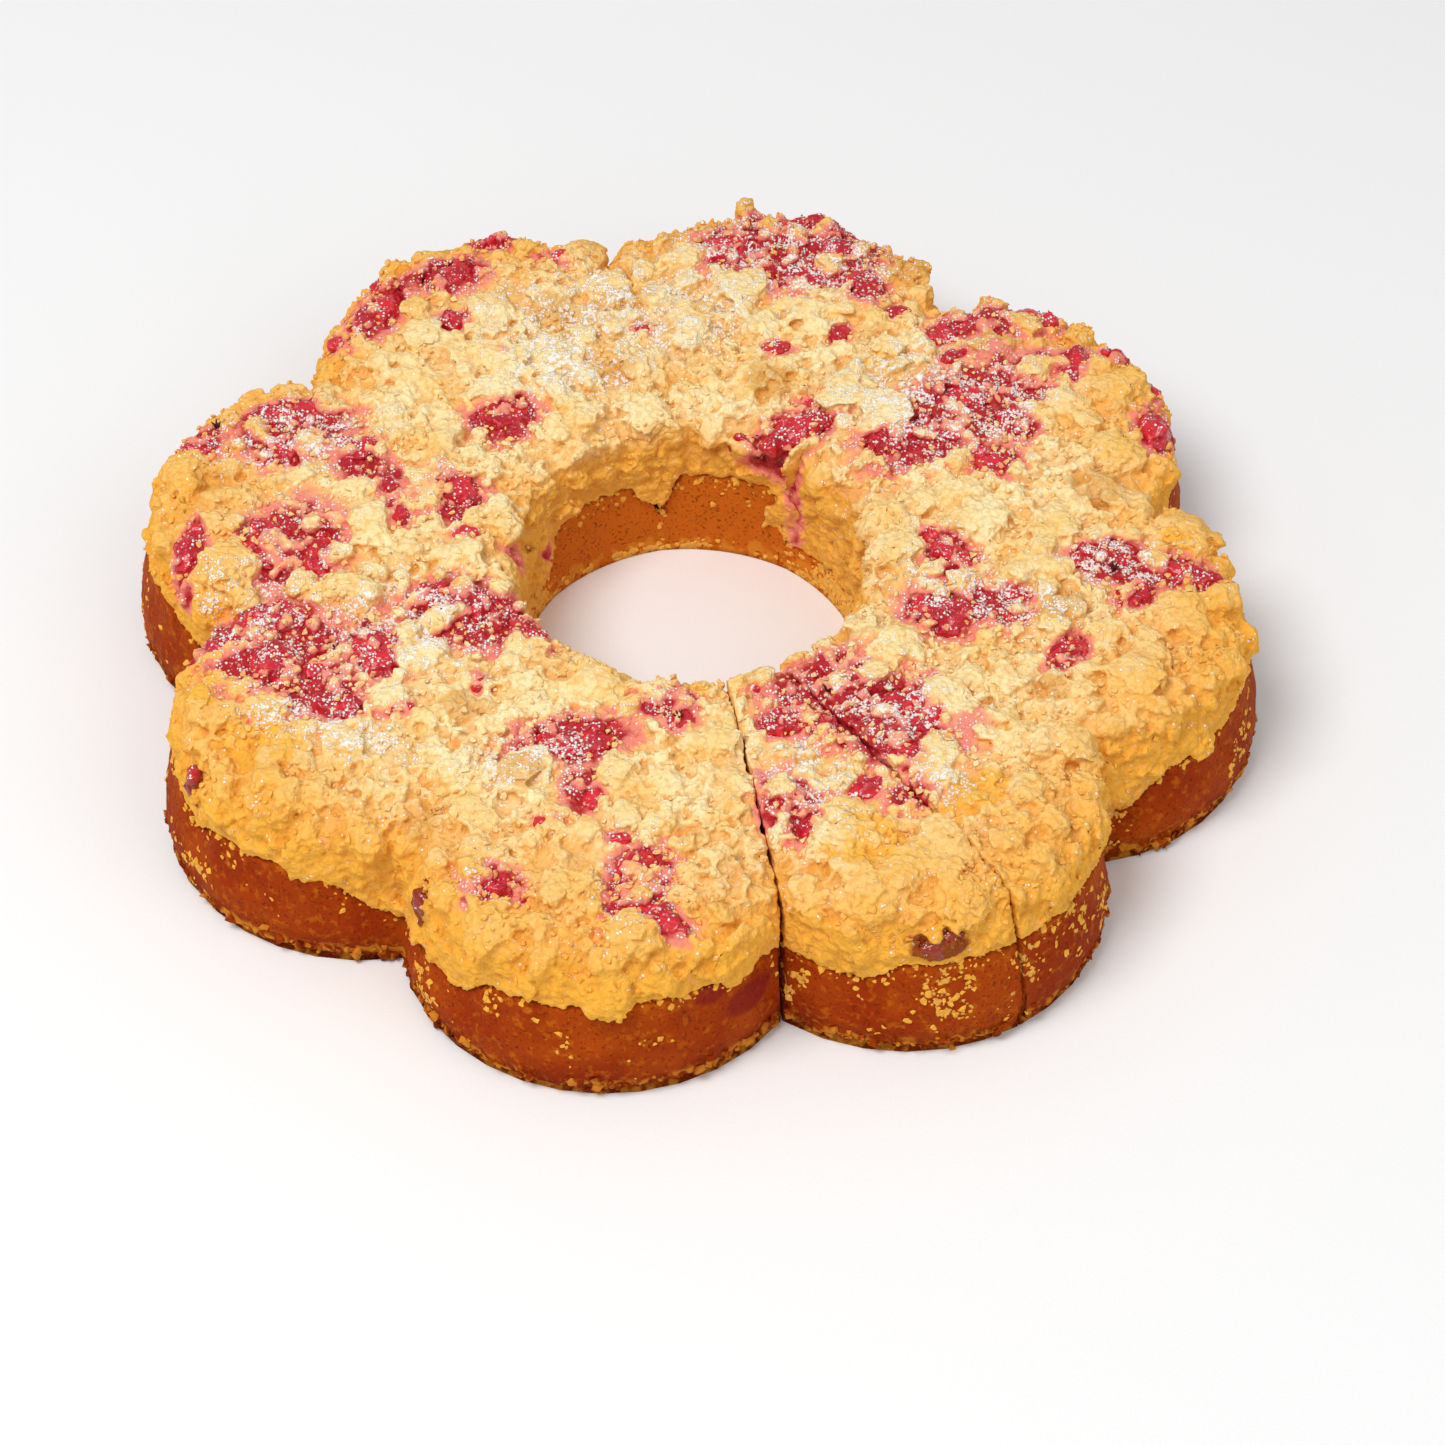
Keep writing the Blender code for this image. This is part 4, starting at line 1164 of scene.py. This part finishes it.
class CAKE_OT_fruit(bpy.types.Operator):
    """Fill the patches with burst redcurrants"""

    bl_idname = "cake.fruit"
    bl_label = "Redcurrants"

    def execute(self, context):
        for name, numbers in FRUIT_GROUPS.items():
            make_fruit(name, numbers, context.scene.cake_sizes)
        make_fruit_bits()
        make_calyxes()
        return {"FINISHED"}


class CAKE_OT_studio(bpy.types.Operator):
    """Set the floor, the soft light and the camera"""

    bl_idname = "cake.studio"
    bl_label = "Studio"

    def execute(self, context):
        deselect()
        bpy.ops.mesh.primitive_plane_add(size=8.0, location=(0.0, 0.0, -0.0002))
        floor = context.active_object
        floor.name = "floor"
        floor.data.materials.append(floor_finish())
        lamps = (
            ("key", (-0.7, -0.6, 1.7), 1.0, 23.7),
            ("fill", (1.0, -0.9, 1.2), 1.6, 5.4),
        )
        for name, place, size, power in lamps:
            bpy.ops.object.light_add(type="AREA", location=place)
            lamp = context.active_object
            lamp.name = name
            lamp.data.shape = "DISK"
            lamp.data.size = size
            lamp.data.energy = power
            lamp.rotation_euler = (-Vector(place)).to_track_quat("-Z", "Y").to_euler()
        world = bpy.data.worlds.new("studio")
        context.scene.world = world
        world.use_nodes = True
        backdrop = world.node_tree.nodes["Background"]
        backdrop.inputs["Color"].default_value = (1.0, 1.0, 1.0, 1.0)
        backdrop.inputs["Strength"].default_value = 0.45
        bpy.ops.object.camera_add(location=(0.0, -0.7495, 0.7495))
        camera = context.active_object
        camera.rotation_euler = (math.radians(45.0), 0.0, 0.0)
        camera.data.sensor_width = 36.0
        camera.data.lens = 99.65
        camera.data.shift_x = 0.0218
        camera.data.shift_y = -0.0401
        context.scene.camera = camera
        context.scene.view_settings.view_transform = "Standard"
        return {"FINISHED"}


class CAKE_PT_panel(bpy.types.Panel):
    """Steps and settings of the cake"""

    bl_idname = "CAKE_PT_panel"
    bl_label = "Streusel ring cake"
    bl_space_type = "VIEW_3D"
    bl_region_type = "UI"
    bl_category = "Cake"

    def draw(self, context):
        for step in STEPS:
            self.layout.operator(step.bl_idname)
        for group in (context.scene.cake_sizes, context.scene.cake_colours):
            for name in group.__annotations__:
                self.layout.prop(group, name)


STEPS = (CAKE_OT_dough, CAKE_OT_streusel, CAKE_OT_fruit, CAKE_OT_studio)
CLASSES = (CakeSizes, CakeColours) + STEPS + (CAKE_PT_panel,)


def register():
    """Make the operators, the panel and the settings known."""
    for entry in CLASSES:
        bpy.utils.register_class(entry)
    bpy.types.Scene.cake_sizes = bpy.props.PointerProperty(type=CakeSizes)
    bpy.types.Scene.cake_colours = bpy.props.PointerProperty(type=CakeColours)


def unregister():
    """Take them away again."""
    del bpy.types.Scene.cake_colours
    del bpy.types.Scene.cake_sizes
    for entry in reversed(CLASSES):
        bpy.utils.unregister_class(entry)


def main():
    """Run every step."""
    register()
    bpy.ops.cake.dough()
    bpy.ops.cake.streusel()
    bpy.ops.cake.fruit()
    bpy.ops.cake.studio()
    clear_shapes()


if __name__ == "__main__":
    main()
